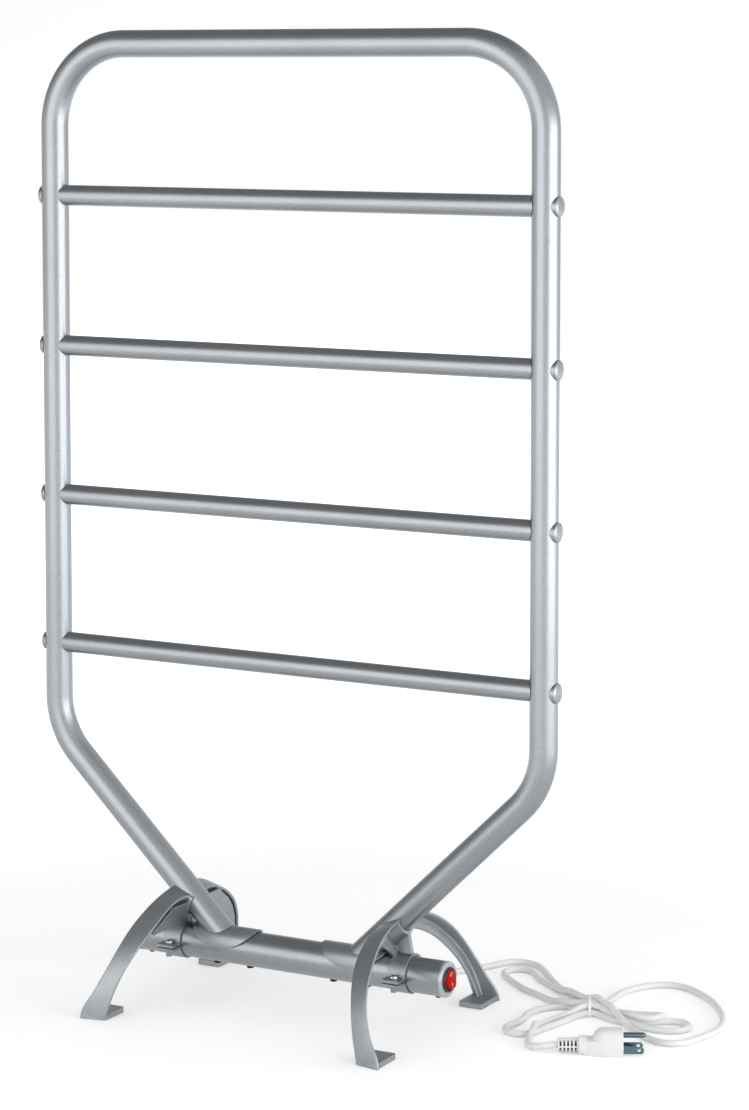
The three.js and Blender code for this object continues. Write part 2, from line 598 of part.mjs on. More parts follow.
// The lower half of each clamp carries a blind boss for each screw.
const lugBoss = (y) => solid(rodZ(CLAMP_X, y, splitBottom - LUG_THICKNESS - LUG_BOSS_LENGTH,
  splitBottom, LUG_BOSS_OD / 2, 12));
const blindHole = (y) => solid(rodZ(CLAMP_X, y,
  splitTop + LUG_THICKNESS + CLEARANCE - CLAMP_SCREW.length - CLEARANCE, BASE_HEIGHT,
  CLAMP_SCREW.shank / 2 + CLEARANCE, 8));
const lowerClampBody = cut(
  join(
    cut(strapRing, keepAbove(splitBottom)), lugs(splitBottom - LUG_THICKNESS, splitBottom),
    lugBoss(-lugScrewY), lugBoss(lugScrewY),
  ),
  clampBore, blindHole(-lugScrewY), blindHole(lugScrewY),
);
const lowerClampGeometry = geometryOf(lowerClampBody);
const clampScrewGeometry = screwGeometry(CLAMP_SCREW, 8);

[-1, 1].forEach((side) => {
  const name = mirrorName(side);
  addMesh(`stand_${name}`, sided(standGeometry, side), castMetal);
  addMesh(`lower_clamp_${name}`, sided(lowerClampGeometry, side), castMetal);
  [-1, 1].forEach((end) => {
    const screw = addMesh(
      `clamp_screw_${name}_${end < 0 ? 'front' : 'rear'}`, clampScrewGeometry.clone(), zincScrew);
    screw.position.set(side * CLAMP_X, end * lugScrewY, splitTop + LUG_THICKNESS + CLEARANCE);
  });
});


// ---------------------------------------------------------------- end caps and switch
// Lathe profiles run along +X from the rim's face (0) into the tube (negative).
const latheX = (profile, sides) => new THREE.LatheGeometry(
  profile.map(([x, r]) => new THREE.Vector2(r, x)), sides).rotateZ(-Math.PI / 2);
const capR = END_CAP_OD / 2;
const socketR = baseFlatR - CLEARANCE;
const switchHoleR = SWITCH_BODY_OD / 2 + CLEARANCE;
const rimProfile = [
  [-END_CAP_RIM, capR], [-0.9, capR], [-0.25, capR - 0.35], [0, capR - 1],
];
const endCapScrewHole = (cap) => cut(solid(cap), solid(rodZ(
  BASE_LENGTH / 2 - END_SCREW_INSET - capFaceX, 0, -BASE_OD, 0,
  END_SCREW.shank / 2 + CLEARANCE, 8)));
const plainCap = geometryOf(endCapScrewHole(latheX([
  [-END_CAP_RIM - END_CAP_DEPTH, socketR - 2], [-END_CAP_RIM - END_CAP_DEPTH, socketR],
  [-END_CAP_RIM, socketR], ...rimProfile, [0, 0], [-END_CAP_RIM, 0],
  [-END_CAP_RIM, socketR - 2], [-END_CAP_RIM - END_CAP_DEPTH, socketR - 2],
], 20)));
const switchCap = geometryOf(endCapScrewHole(latheX([
  [-END_CAP_RIM - END_CAP_DEPTH, switchHoleR], [-END_CAP_RIM - END_CAP_DEPTH, socketR],
  [-END_CAP_RIM, socketR], ...rimProfile, [0, switchHoleR],
  [-END_CAP_RIM - END_CAP_DEPTH, switchHoleR],
], 20)));
addMesh('end_cap_left', sided(plainCap, -1), greyPlastic)
  .position.set(-capFaceX, 0, BASE_HEIGHT);
addMesh('end_cap_switch', switchCap, greyPlastic).position.set(capFaceX, 0, BASE_HEIGHT);

const endScrewGeometry = screwGeometry(END_SCREW, 8);
[-1, 1].forEach((side) => {
  const screw = addMesh(`end_cap_screw_${mirrorName(side)}`, endScrewGeometry.clone(), blackScrew);
  screw.rotation.x = Math.PI;
  screw.position.set(side * (BASE_LENGTH / 2 - END_SCREW_INSET), 0, underBaseZ);
});

// Switch housing: bezel, round well for the rocker, closed body behind.
const rockerPivotX = bezelFaceX - ROCKER_PIVOT_DEPTH;
const wellR = SWITCH_WELL_OD / 2;
const housing = cut(
  solid(latheX([
    [-BEZEL_RISE - SWITCH_BODY_DEPTH, 0], [-BEZEL_RISE - SWITCH_BODY_DEPTH, SWITCH_BODY_OD / 2],
    [-BEZEL_RISE, SWITCH_BODY_OD / 2], [-BEZEL_RISE, BEZEL_OD / 2],
    [-BEZEL_RISE * 0.45, BEZEL_OD / 2], [0, BEZEL_OD / 2 - 0.8], [0, wellR],
    [-SWITCH_WELL_DEPTH, wellR], [-SWITCH_WELL_DEPTH, 0],
  ], 20)),
  solid(rod(v3(-ROCKER_PIVOT_DEPTH, -BEZEL_OD / 2, 0), v3(-ROCKER_PIVOT_DEPTH, BEZEL_OD / 2, 0),
    TRUNNION_OD / 2 + CLEARANCE, 8)).intersect(solid(rodX(-SWITCH_WELL_DEPTH, 0, 0, 0,
    (wellR + SWITCH_BODY_OD / 2) / 2, 20))),
);
addMesh('switch_housing', geometryOf(housing), blackPlastic).position.set(bezelFaceX, 0, BASE_HEIGHT);

// Rocker: a round button with two faces that meet in a shallow valley over the pivot.
const rockerR = wellR - 2 * CLEARANCE;
const rockerReach = rockerR * 0.98;
const rockerSide = [
  [-ROCKER_PIVOT_DEPTH - 0.6, -rockerR * 0.82], [-ROCKER_PIVOT_DEPTH + 1.2, -rockerR * 0.96],
  [1.5, -rockerReach], [4.2, -rockerReach + 0.7], [4.7, -rockerReach + 1.6], [3.6, 0],
  [4.7, rockerReach - 1.6], [4.2, rockerReach - 0.7], [1.5, rockerReach],
  [-ROCKER_PIVOT_DEPTH + 1.2, rockerR * 0.96], [-ROCKER_PIVOT_DEPTH - 0.6, rockerR * 0.82],
];
const rockerBody = join(
  solid(rodX(-SWITCH_WELL_DEPTH, SWITCH_WELL_DEPTH, 0, 0, rockerR, 20))
    .intersect(solid(slabY(rockerSide, -SWITCH_WELL_OD, SWITCH_WELL_OD))),
  solid(rod(v3(0, -wellR - 0.2, 0), v3(0, wellR + 0.2, 0), TRUNNION_OD / 2, 8)),
);
const rocker = addMesh('rocker', geometryOf(rockerBody), redRocker);
rocker.rotation.y = -ROCKER_TRAVEL / 2;
rocker.position.set(rockerPivotX, 0, BASE_HEIGHT);

const terminalX = bezelFaceX - BEZEL_RISE - SWITCH_BODY_DEPTH - CLEARANCE;
const terminalZ = [-1, 0, 1].map((i) => BASE_HEIGHT + i * (TERMINAL.width + 1.2));
terminalZ.forEach((z, i) => {
  addMesh(`switch_terminal_${i + 1}`, block(
    terminalX - TERMINAL.length, terminalX, -TERMINAL.thickness / 2, TERMINAL.thickness / 2,
    z - TERMINAL.width / 2, z + TERMINAL.width / 2), brass);
});

// ---------------------------------------------------------------- heating cable and wiring
const heaterEnd = 3; // along a leg's axis from the base tube's axis
const heaterPath = frameCorners(heaterY);
heaterPath[0] = legLine(heaterEnd, heaterY);
heaterPath[heaterPath.length - 1] = heaterPath[0].clone().setX(-heaterPath[0].x);
addMesh('heating_cable', pipe(new BentPath(heaterPath, BEND_RADIUS, 5), HEATER_OD / 2, 7), silicone);

// The wires run through the base tube, behind the screws.
const leadR = LEAD_OD / 2;
const leadY = SADDLE_BOSS_OD / 2 + leadR + CLEARANCE;
const jacketEndY = baseBoreR - CORD_JACKET_END;
const cordPitch = LEAD_OD + CLEARANCE; // the two conductors side by side in the jacket
const liveZ = BASE_HEIGHT - cordPitch / 2;
const neutralZ = BASE_HEIGHT + cordPitch / 2;
const lowZ = BASE_HEIGHT - 8;
const crossZ = BASE_HEIGHT - 4.3;
const tagX = terminalX - TERMINAL.length - CLEARANCE;
const fuseY = FUSE_OD / 2 + 3;
const fuseZ = BASE_HEIGHT + 1.5;
const fuseEnds = [SADDLE_SCREW_X + 6, SADDLE_SCREW_X + 6 + FUSE_LENGTH];
const heaterTip = legLine(heaterEnd - CLEARANCE, heaterY);
const turnX = heaterTip.x - 6.4; // where a lead turns after it leaves the heater's end

const lead = (name, points, material) => addMesh(
  name, pipe(new BentPath(points, 3, 3), leadR, 6), material);
const jacketFace = jacketEndY - CLEARANCE;
lead('lead_live', [
  v3(CORD_EXIT_X, jacketFace, liveZ), v3(CORD_EXIT_X, leadY, liveZ),
  v3(CORD_EXIT_X + 10, leadY, lowZ), v3(tagX - 14, leadY, lowZ),
  v3(tagX - 5, 0, terminalZ[0]), v3(tagX, 0, terminalZ[0]),
], blackPlastic);
lead('lead_neutral', [
  v3(CORD_EXIT_X, jacketFace, neutralZ), v3(CORD_EXIT_X, leadY, neutralZ),
  v3(CORD_EXIT_X - 12, leadY, crossZ), v3(-turnX + 14, leadY, crossZ),
  v3(-turnX, heaterY, crossZ - 0.4), v3(-heaterTip.x, heaterY, heaterTip.z),
], whitePvc);
lead('lead_switched', [
  v3(tagX, 0, terminalZ[1]), v3(tagX - 5, 0, terminalZ[1]),
  v3(fuseEnds[1] + 6, fuseY, fuseZ), v3(fuseEnds[1] + CLEARANCE, fuseY, fuseZ),
], blackPlastic);
lead('lead_fused', [
  v3(fuseEnds[0] - CLEARANCE, fuseY, fuseZ), v3(fuseEnds[0] - 6, fuseY, fuseZ),
  v3(turnX + 14, heaterY, crossZ - 0.4), v3(turnX, heaterY, crossZ - 0.4),
  heaterTip,
], whitePvc);
addMesh('thermal_fuse', rodX(...fuseEnds, fuseY, fuseZ, FUSE_OD / 2, 10), ceramicSleeve);

// ---------------------------------------------------------------- cord, hank and tie
// Grommet of the cord: profile along +Y from the axis of the base tube.
const latheY = (profile, sides) => new THREE.LatheGeometry(
  profile.map(([y, r]) => new THREE.Vector2(r, y)), sides);
const cordHoleR = CORD_OD / 2 + CLEARANCE;
const neckR = GROMMET_NECK_OD / 2;
const flangeOuterY = baseR + CLEARANCE + GROMMET_FLANGE_THICKNESS;
const noseTipY = baseR + GROMMET_NOSE_LENGTH;
const lipFaceY = Math.sqrt(baseFlatR ** 2 - (GROMMET_LIP_OD / 2) ** 2) - CLEARANCE;
const flangeRing = cut(
  solid(rod(v3(0, baseR - 3, 0), v3(0, flangeOuterY, 0), GROMMET_FLANGE_OD / 2, 16)),
  solid(rodX(-BASE_OD, BASE_OD, 0, 0, baseR + CLEARANCE, TUBE_SIDES)),
);
const grommetBody = cut(
  join(flangeRing, solid(latheY([
    [lipFaceY - 1.6, 0], [lipFaceY - 1.6, neckR], [lipFaceY - 0.8, GROMMET_LIP_OD / 2],
    [lipFaceY, GROMMET_LIP_OD / 2], [lipFaceY, neckR], [flangeOuterY, neckR],
    [noseTipY - 1, GROMMET_NOSE_TIP_OD / 2], [noseTipY, GROMMET_NOSE_TIP_OD / 2 - 0.6],
    [noseTipY, 0],
  ], 12))),
  solid(rod(v3(0, 0, 0), v3(0, noseTipY + BASE_OD, 0), cordHoleR, 10)),
);
addMesh('cord_grommet', geometryOf(grommetBody), blackPlastic)
  .position.set(CORD_EXIT_X, 0, BASE_HEIGHT);

// Where the cord lies, from inside the grommet to the hank, and from the hank to the plug.
const cordRoute = [
  [20, jacketEndY, 50.5], [20, 31, 50.5], [20.1, 43.4, 49.2], [21.5, 54.2, 44.4], [23.7, 63.2, 36.7], [26.3, 71.2, 28.2],
  [29.3, 78.6, 18.3], [32.9, 87.1, 9.8], [37.6, 97.1, 4.9], [42.9, 107.6, 3.5],
  [48.6, 118.1, 3.2], [54.4, 128.6, 3.1], [60.4, 138.9, 3.1], [66.6, 149.2, 3.1],
  [72.9, 159.4, 3.1], [79.5, 169.4, 3.1], [86.5, 179, 3.1], [93.7, 188.5, 3.1],
  [99.5, 198.8, 3.1], [103.8, 209.7, 3.1], [109.1, 220, 3.1], [118.1, 227, 3.1],
  [129.3, 228.4, 3.1], [139.9, 224, 3.1], [148.8, 216.4, 3.1], [156.6, 207.5, 3.1],
  [164.1, 198.3, 3.1], [171.8, 189.1, 3.1], [179.6, 180.1, 3.1], [187.9, 171.3, 3.1],
  [196.9, 163.3, 3], [206, 155.2, 3], [214.5, 146.4, 3], [219.5, 141, 3],
];
const tailRoute = [
  [224.6, 53.1, 4.9], [226, 42.1, 8.6], [229.4, 31.4, 7.5], [229.9, 21.6, 3.5],
  [233.2, 13.4, 3.2], [236.2, 6.1, 3.2], [240.2, 0.3, 3.3], [246.2, -3.5, 4.2],
  [253.3, -4.5, 5.6], [260.1, -2.6, 6.9], [267, 1.1, 7.4],
];
function cordTube(route, radius = CORD_OD / 2) {
  const curve = new THREE.CatmullRomCurve3(route.map((p) => v3(...p)));
  const section = new THREE.Shape().absarc(0, 0, radius, 0, Math.PI * 2);
  return new THREE.ExtrudeGeometry(section, {
    steps: Math.round(curve.getLength() / (CORD_OD * 2.6)),
    curveSegments: 4,
    bevelEnabled: false,
    extrudePath: curve,
  });
}
addMesh('power_cord', cordTube(cordRoute), whitePvc);
addMesh('cord_tail', cordTube(tailRoute), whitePvc);

// The hank is a bow of loose loops, tied at its waist, where it lies along +X of its own group.
const hankAngle = Math.atan2(34, 72);
const hank = new THREE.Group();
hank.position.set(242.3, 121.3, 0);
hank.rotation.z = hankAngle;
rack.add(hank);
const toHank = (x, y, z) => v3(x, y, z).sub(hank.position).applyAxisAngle(v3(0, 0, 1), -hankAngle);
const hankOutline = new THREE.CatmullRomCurve3([
  [207, 4], [220, 14], [232, 46], [244, 84], [252, 99], [290, 76], [330, 62], [368, 68],
  [384, 100], [368, 158], [314, 222], [274, 228], [254, 196], [240, 134], [222, 143],
  [196, 153], [160, 184], [136, 210], [116, 218], [108, 204], [122, 176], [156, 144],
  [176, 108], [170, 72], [184, 34], [196, 10],
].map(([x, y]) => toHank(x, y, 0)), true).getSpacedPoints(52).slice(0, -1);
const hankShape = new THREE.Shape(hankOutline.map(({ x, y }) => new THREE.Vector2(x, y)));

// Room in the hank for a cord that ends in it: the end is the route's last point.
function cordSocket(route) {
  const [before, end] = route.slice(-2).map((p) => v3(...p));
  const past = end.clone().add(end.clone().sub(before).setLength(CLEARANCE));
  return solid(cordTube([...route.slice(0, -1), past.toArray()], cordHoleR)
    .applyMatrix4(new THREE.Matrix4().makeRotationZ(-hankAngle).multiply(
      new THREE.Matrix4().makeTranslation(hank.position.clone().negate()))));
}

// Rounded rectangle across the bundle, in (y, z), standing on z0.
function bundleSection(width, z0, z1, radius) {
  const s = new THREE.Shape();
  s.absarc(width / 2 - radius, z1 - radius, radius, 0, Math.PI / 2);
  s.absarc(-width / 2 + radius, z1 - radius, radius, Math.PI / 2, Math.PI);
  s.absarc(-width / 2 + radius, z0 + radius, radius, Math.PI, Math.PI * 1.5);
  s.absarc(width / 2 - radius, z0 + radius, radius, Math.PI * 1.5, Math.PI * 2);
  return s;
}
const bundleSlab = (shape, width) => new THREE.ExtrudeGeometry(
  shape, { depth: width, bevelEnabled: false, curveSegments: 3 })
  .applyMatrix4(new THREE.Matrix4().set(
    0, 0, 1, -width / 2, 1, 0, 0, 0, 0, 1, 0, 0, 0, 0, 0, 1));
const tieInner = bundleSection(TIE_SPAN, TIE_THICKNESS, TIE_THICKNESS + TIE_CORE_HEIGHT, 4);
const tieOuter = bundleSection(
  TIE_SPAN + 2 * TIE_THICKNESS, 0, 2 * TIE_THICKNESS + TIE_CORE_HEIGHT, 4 + TIE_THICKNESS);
tieOuter.holes.push(new THREE.Path(tieInner.getPoints(3).reverse()));
addMesh('cord_tie', bundleSlab(tieOuter, TIE_WIDTH), whitePvc, hank);

const hankCore = bundleSection(TIE_SPAN - 2 * CLEARANCE, TIE_THICKNESS + CLEARANCE,
  TIE_THICKNESS + TIE_CORE_HEIGHT - CLEARANCE, 4 - CLEARANCE);
const waistWidth = TIE_WIDTH + 2 * CLEARANCE;
const waist = cut(
  solid(block(-waistWidth / 2, waistWidth / 2, -PLUG_LENGTH, PLUG_LENGTH, -1, HANK_HEIGHT + 1)),
  solid(bundleSlab(hankCore, waistWidth + 1)),
);
const hankBody = cut(
  join(
    solid(new THREE.ExtrudeGeometry(hankShape, { depth: HANK_HEIGHT, bevelEnabled: false })),
    solid(bundleSlab(hankCore, waistWidth + 20)),
  ),
  waist, cordSocket(cordRoute), cordSocket([...tailRoute].reverse()),
);
addMesh('cord_hank', geometryOf(hankBody), whitePvc, hank);

// ---------------------------------------------------------------- plug
// In the plug's own group +X runs from the cord to the tips of the blades.
const plug = new THREE.Group();
plug.position.set(286.7, 11.6, 0);
plug.rotation.z = PLUG_ANGLE;
rack.add(plug);

// Flat outline in (x, y), extruded from z0 to z1.
const slabZ = (points, z0, z1) => new THREE.ExtrudeGeometry(
  new THREE.Shape(points.map(([x, y]) => new THREE.Vector2(x, y))),
  { depth: z1 - z0, bevelEnabled: false }).translate(0, 0, z0);
const halfWidth = PLUG_WIDTH / 2;
const plugTop = [
  [0, -halfWidth * 0.55], [PLUG_LENGTH * 0.2, -halfWidth * 0.78],
  [PLUG_LENGTH * 0.5, -halfWidth], [PLUG_LENGTH - 1, -halfWidth],
  [PLUG_LENGTH, -halfWidth + 1.5], [PLUG_LENGTH, halfWidth - 1.5],
  [PLUG_LENGTH - 1, halfWidth], [PLUG_LENGTH * 0.5, halfWidth],
  [PLUG_LENGTH * 0.2, halfWidth * 0.78], [0, halfWidth * 0.55],
];
const plugSide = [
  [0, 1.6], [1.6, 0], [PLUG_LENGTH - 1, 0], [PLUG_LENGTH, 1.2],
  [PLUG_LENGTH, PLUG_HEIGHT - 2], [PLUG_LENGTH - 1, PLUG_HEIGHT - 0.6],
  [PLUG_LENGTH * 0.86, PLUG_HEIGHT], [PLUG_LENGTH * 0.7, PLUG_HEIGHT - 0.5],
  [PLUG_LENGTH * 0.56, PLUG_HEIGHT - 2.2], [PLUG_LENGTH * 0.46, PLUG_HEIGHT - 5],
  [PLUG_LENGTH * 0.41, PLUG_REAR_HEIGHT], [1.5, PLUG_REAR_HEIGHT], [0, PLUG_REAR_HEIGHT - 1.2],
];
const plugEnd = new THREE.Shape();
plugEnd.absarc(halfWidth - 3, 3, 3, -Math.PI / 2, 0);
plugEnd.absarc(halfWidth - 4, 9, 4, 0, Math.PI / 4);
plugEnd.absarc(0, PLUG_HEIGHT - 8, 8, Math.PI / 4, Math.PI * 0.75);
plugEnd.absarc(-halfWidth + 4, 9, 4, Math.PI * 0.75, Math.PI);
plugEnd.absarc(-halfWidth + 3, 3, 3, Math.PI, Math.PI * 1.5);
const plugEndPoints = plugEnd.getPoints(4).map(({ x, y }) => [x, y]);

const relief = join(
  solid(rod(v3(4, 0, RELIEF_Z), v3(-RELIEF_LENGTH, 0, RELIEF_Z), RELIEF_OD / 2, 12, RELIEF_TIP_OD / 2)),
  solid(rodX(-COLLAR_LENGTH, 4, 0, RELIEF_Z, COLLAR_OD / 2, 12)),
).intersect(solid(block(-RELIEF_LENGTH, PLUG_LENGTH, -COLLAR_OD, COLLAR_OD, 0, PLUG_HEIGHT)));
const reliefPitch = (RELIEF_LENGTH - COLLAR_LENGTH) / (RELIEF_SLOTS + 0.6);
const reliefSlots = Array.from({ length: RELIEF_SLOTS }, (_, i) =>
  -COLLAR_LENGTH - reliefPitch * (i + 0.8)).flatMap((x) => [-1, 1].map((side) => solid(block(
  x - 0.8, x + 0.8, side > 0 ? cordHoleR + 1 : -RELIEF_OD, side > 0 ? RELIEF_OD : -cordHoleR - 1,
  RELIEF_Z - 5, RELIEF_Z + 5))));

const seatX = PLUG_LENGTH - PIN_SEAT;
const bladeY = (i) => (i - 0.5) * BLADE.spacing;
const bladePocket = (i) => solid(block(
  seatX - CLEARANCE, PLUG_LENGTH + 1, bladeY(i) - BLADE.thickness / 2 - CLEARANCE,
  bladeY(i) + BLADE.thickness / 2 + CLEARANCE, BLADE_Z - BLADE.height / 2 - CLEARANCE,
  BLADE_Z + BLADE.height / 2 + CLEARANCE));
const plugBody = cut(
  join(
    solid(slabZ(plugTop, 0, PLUG_HEIGHT)).intersect(solid(slabY(plugSide, -halfWidth, halfWidth)))
      .intersect(solid(slabX(plugEndPoints, 0, PLUG_LENGTH))),
    relief,
  ),
  ...reliefSlots, bladePocket(0), bladePocket(1),
  solid(rodX(seatX - CLEARANCE, PLUG_LENGTH + 1, 0, GROUND_PIN_Z, GROUND_PIN_OD / 2 + CLEARANCE, 12)),
);
addMesh('plug_body', geometryOf(plugBody), whitePvc, plug);

const bladeTip = PLUG_LENGTH + BLADE.length;
const halfBlade = BLADE.height / 2;
const bladeBody = cut(
  solid(slabY([
    [seatX, -halfBlade], [bladeTip - 1.5, -halfBlade], [bladeTip, -halfBlade + 1.5],
    [bladeTip, halfBlade - 1.5], [bladeTip - 1.5, halfBlade], [seatX, halfBlade],
  ], -BLADE.thickness / 2, BLADE.thickness / 2)),
  solid(rod(v3(bladeTip - 4, -1, 0), v3(bladeTip - 4, 1, 0), BLADE.hole / 2, 10)),
);
[0, 1].forEach((i) => {
  addMesh(`plug_blade_${i + 1}`, geometryOf(bladeBody), nickel, plug)
    .position.set(0, bladeY(i), BLADE_Z);
});
const pinR = GROUND_PIN_OD / 2;
const pinTip = PLUG_LENGTH + GROUND_PIN_LENGTH;
addMesh('plug_ground_pin', latheX([
  [seatX, 0], [seatX, pinR], [pinTip - pinR, pinR], [pinTip - pinR * 0.3, pinR * 0.7],
  [pinTip, 0],
], 12), nickel, plug).position.set(0, 0, GROUND_PIN_Z);

export default rack;
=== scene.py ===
import math

import bmesh
import bpy
from mathutils import Matrix, Vector


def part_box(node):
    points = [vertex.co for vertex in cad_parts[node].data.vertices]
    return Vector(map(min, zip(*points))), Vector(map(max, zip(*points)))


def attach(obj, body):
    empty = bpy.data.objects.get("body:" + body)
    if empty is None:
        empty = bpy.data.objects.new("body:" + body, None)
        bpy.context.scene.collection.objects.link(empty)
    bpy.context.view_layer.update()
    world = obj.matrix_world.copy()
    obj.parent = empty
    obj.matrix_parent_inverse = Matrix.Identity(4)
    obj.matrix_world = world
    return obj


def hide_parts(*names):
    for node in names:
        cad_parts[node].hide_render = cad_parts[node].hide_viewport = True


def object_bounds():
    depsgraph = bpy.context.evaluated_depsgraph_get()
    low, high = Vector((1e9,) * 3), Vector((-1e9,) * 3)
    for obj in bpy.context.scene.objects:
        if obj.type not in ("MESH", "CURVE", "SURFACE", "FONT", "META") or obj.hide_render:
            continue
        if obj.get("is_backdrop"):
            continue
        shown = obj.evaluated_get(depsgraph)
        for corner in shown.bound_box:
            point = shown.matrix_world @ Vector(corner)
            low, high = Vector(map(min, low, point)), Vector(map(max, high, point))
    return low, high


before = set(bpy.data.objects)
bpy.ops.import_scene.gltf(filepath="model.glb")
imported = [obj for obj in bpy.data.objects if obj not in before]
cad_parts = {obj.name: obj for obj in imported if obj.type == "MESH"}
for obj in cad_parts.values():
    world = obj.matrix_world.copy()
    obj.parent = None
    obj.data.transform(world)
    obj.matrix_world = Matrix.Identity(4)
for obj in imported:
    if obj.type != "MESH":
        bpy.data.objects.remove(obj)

MM = 0.001
cad_low, cad_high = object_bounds()


# ------------------------------------------------------------------ camera
# A long lens at the height of the rack's top bend, 30 degrees to the right of its
# front, with the frame shifted down so that the rack fills it from top to feet.
CAMERA_PLACE = (1.42607, -2.41898, 0.85472)
CAMERA_PITCH_DOWN = math.radians(4.836)
CAMERA_TURN = math.radians(28.984)

lens = bpy.data.cameras.new("studio_camera")
lens.sensor_fit = "HORIZONTAL"
lens.sensor_width = 36
lens.lens = 151.22
lens.shift_y = -0.2941
camera = bpy.data.objects.new("studio_camera", lens)
camera.location = CAMERA_PLACE
camera.rotation_euler = (math.pi / 2 - CAMERA_PITCH_DOWN, 0, CAMERA_TURN)
bpy.context.collection.objects.link(camera)
bpy.context.scene.camera = camera
bpy.context.scene.view_settings.view_transform = "Standard"


# ------------------------------------------------------------------ plug
# A three-pin mains plug moulded in soft white PVC round its pins: a low grip, a
# round hump over the earth pin, and a slotted strain relief behind a collar.
PLUG_COLLAR_AT, PLUG_TURN = (286.7 * MM, 11.6 * MM, 0), math.radians(28)
PLUG_LENGTH = 35 * MM
GRIP_HEIGHT, GRIP_GROWTH = 13.4 * MM, 17.5 * MM
GRIP_FOOT_R, GRIP_TOP_R = 1 * MM, 2 * MM
HUMP_TOP, HUMP_START, HUMP_ROUND = 22 * MM, 8.2 * MM, 9.5 * MM
HUMP_SUNK_Z, HUMP_SPRING_Z = 6 * MM, 8 * MM
RELIEF_LENGTH, RELIEF_AXIS_Z = 22 * MM, 7.4 * MM
RELIEF_INSIDE = 4 * MM
COLLAR_LENGTH, COLLAR_R = 3.5 * MM, 8.5 * MM
SLOT_COUNT, SLOT_HALF_WIDTH = 5, 0.85 * MM
PIN_SEAT = 7 * MM
BLADE_REACH, BLADE_HALF_HEIGHT, BLADE_HALF_THICKNESS = 18 * MM, 3.175 * MM, 0.75 * MM
BLADE_OFFSET, BLADE_Z = 6.35 * MM, 4.8 * MM
EARTH_REACH, EARTH_R, EARTH_Z = 20.5 * MM, 2.4 * MM, 16.4 * MM


def linear(hex_colour):
    """An sRGB hex colour as linear red, green, blue and alpha."""
    parts = [int(hex_colour[i:i + 2], 16) / 255 for i in (1, 3, 5)]
    return (*[c / 12.92 if c <= 0.04045 else ((c + 0.055) / 1.055) ** 2.4 for c in parts], 1)


def add(tree, kind, links=None, colours=(), feeds=None, **settings):
    """Adds a node: links fill its sockets with values, sockets or the first output of other
    nodes, colours fill its ramp, and it feeds a socket of the material's main shader."""
    n = tree.nodes.new(kind)
    for key, value in settings.items():
        setattr(n, key, value)
    for stop, colour in enumerate(colours):
        n.color_ramp.elements[stop].color = linear(colour)
    for socket, value in (links or {}).items():
        if isinstance(value, bpy.types.Node):
            value = value.outputs[0]
        if isinstance(value, bpy.types.NodeSocket):
            tree.links.new(value, n.inputs[socket])
        else:
            n.inputs[socket].default_value = value
    if feeds:
        tree.links.new(n.outputs[0], tree.nodes["main shader"].inputs[feeds])
    return n


def begin_material(name, **sockets):
    """A material with its main shader set, its node tree, and its place in object metres."""
    material = bpy.data.materials.new(name)
    material.use_nodes = True
    tree = material.node_tree
    tree.nodes.clear()
    shader = add(tree, "ShaderNodeBsdfPrincipled",
                 {socket.replace("_", " "): value for socket, value in sockets.items()},
                 name="main shader")
    add(tree, "ShaderNodeOutputMaterial", {"Surface": shader})
    return material, tree, add(tree, "ShaderNodeTexCoord").outputs["Object"]


# Soft PVC, extruded or moulded: white, half matt, with a faint waviness every 4 mm
# that breaks up its long highlights.
white_pvc, tree, place = begin_material(
    "extruded_white_pvc", Roughness=0.42, IOR=1.53, Subsurface_Weight=0.06,
    Subsurface_Radius=(2 * MM, 2 * MM, 2 * MM))
wave = add(tree, "ShaderNodeTexNoise", {"Vector": place, "Scale": 250, "Detail": 3})
add(tree, "ShaderNodeValToRGB", {"Fac": wave}, colours=("#e0e2e3", "#edeeee"), feeds="Base Color")
add(tree, "ShaderNodeBump", {"Height": wave, "Strength": 0.15, "Distance": 0.3 * MM},
    feeds="Normal")

# The plug's PVC has a fine spark-eroded grain from its mould, drawn at 0.8 mm so that
# it shows, and its narrow slots are painted dark grey as shade, from an occlusion mask.
plug_pvc, tree, place = begin_material(
    "moulded_white_pvc", Roughness=0.5, IOR=1.53, Subsurface_Weight=0.06,
    Subsurface_Radius=(2 * MM, 2 * MM, 2 * MM))
grain = add(tree, "ShaderNodeTexNoise", {"Vector": place, "Scale": 1200, "Detail": 3})
tint = add(tree, "ShaderNodeValToRGB", {"Fac": grain}, colours=("#e0e1e0", "#ececeb"))
add(tree, "ShaderNodeBump", {"Height": grain, "Strength": 0.2, "Distance": 0.2 * MM},
    feeds="Normal")
# Painted shade: the colour turns dark grey where the occlusion mask finds walls close by, in the
# slots.
depth = add(tree, "ShaderNodeAmbientOcclusion", {"Distance": 3 * MM}, only_local=True)
slot_shade_mask = add(tree, "ShaderNodeMapRange",
               {"Value": depth.outputs["AO"], "From Min": 0.3, "From Max": 0.62})
painted_slot_shade = add(tree, "ShaderNodeMix", {0: slot_shade_mask, 6: linear("#2b3033"), 7: tint},
             data_type="RGBA")
tree.links.new(painted_slot_shade.outputs["Result"], tree.nodes["main shader"].inputs["Base Color"])

# Nickel plate over stamped brass, dulled by fine draw lines along the blades, 0.5 mm
# apart. Its base colour is a painted reflection: dark teal for the dim surround it mirrors.
nickel, tree, place = begin_material("nickel_plated_brass", Metallic=1.0)
draw = add(tree, "ShaderNodeTexNoise", {"Vector": place, "Scale": 2000, "Detail": 2})
# Painted reflection: a dark teal tone in place of bright nickel's own grey.
add(tree, "ShaderNodeValToRGB", {"Fac": draw}, colours=("#466069", "#728890"), feeds="Base Color")
add(tree, "ShaderNodeMapRange", {"Value": draw, "To Min": 0.16, "To Max": 0.28}, feeds="Roughness")


def ring_points(centre, direction, radius, sides=56, side_axis=Vector((0, 1, 0))):
    """Points of a circle square to a direction, counted from the side axis."""
    up = side_axis.cross(direction).normalized()
    across = direction.cross(up).normalized()
    return [centre + (up * math.cos(a) + across * math.sin(a)) * radius
            for a in (2 * math.pi * i / sides for i in range(sides))]


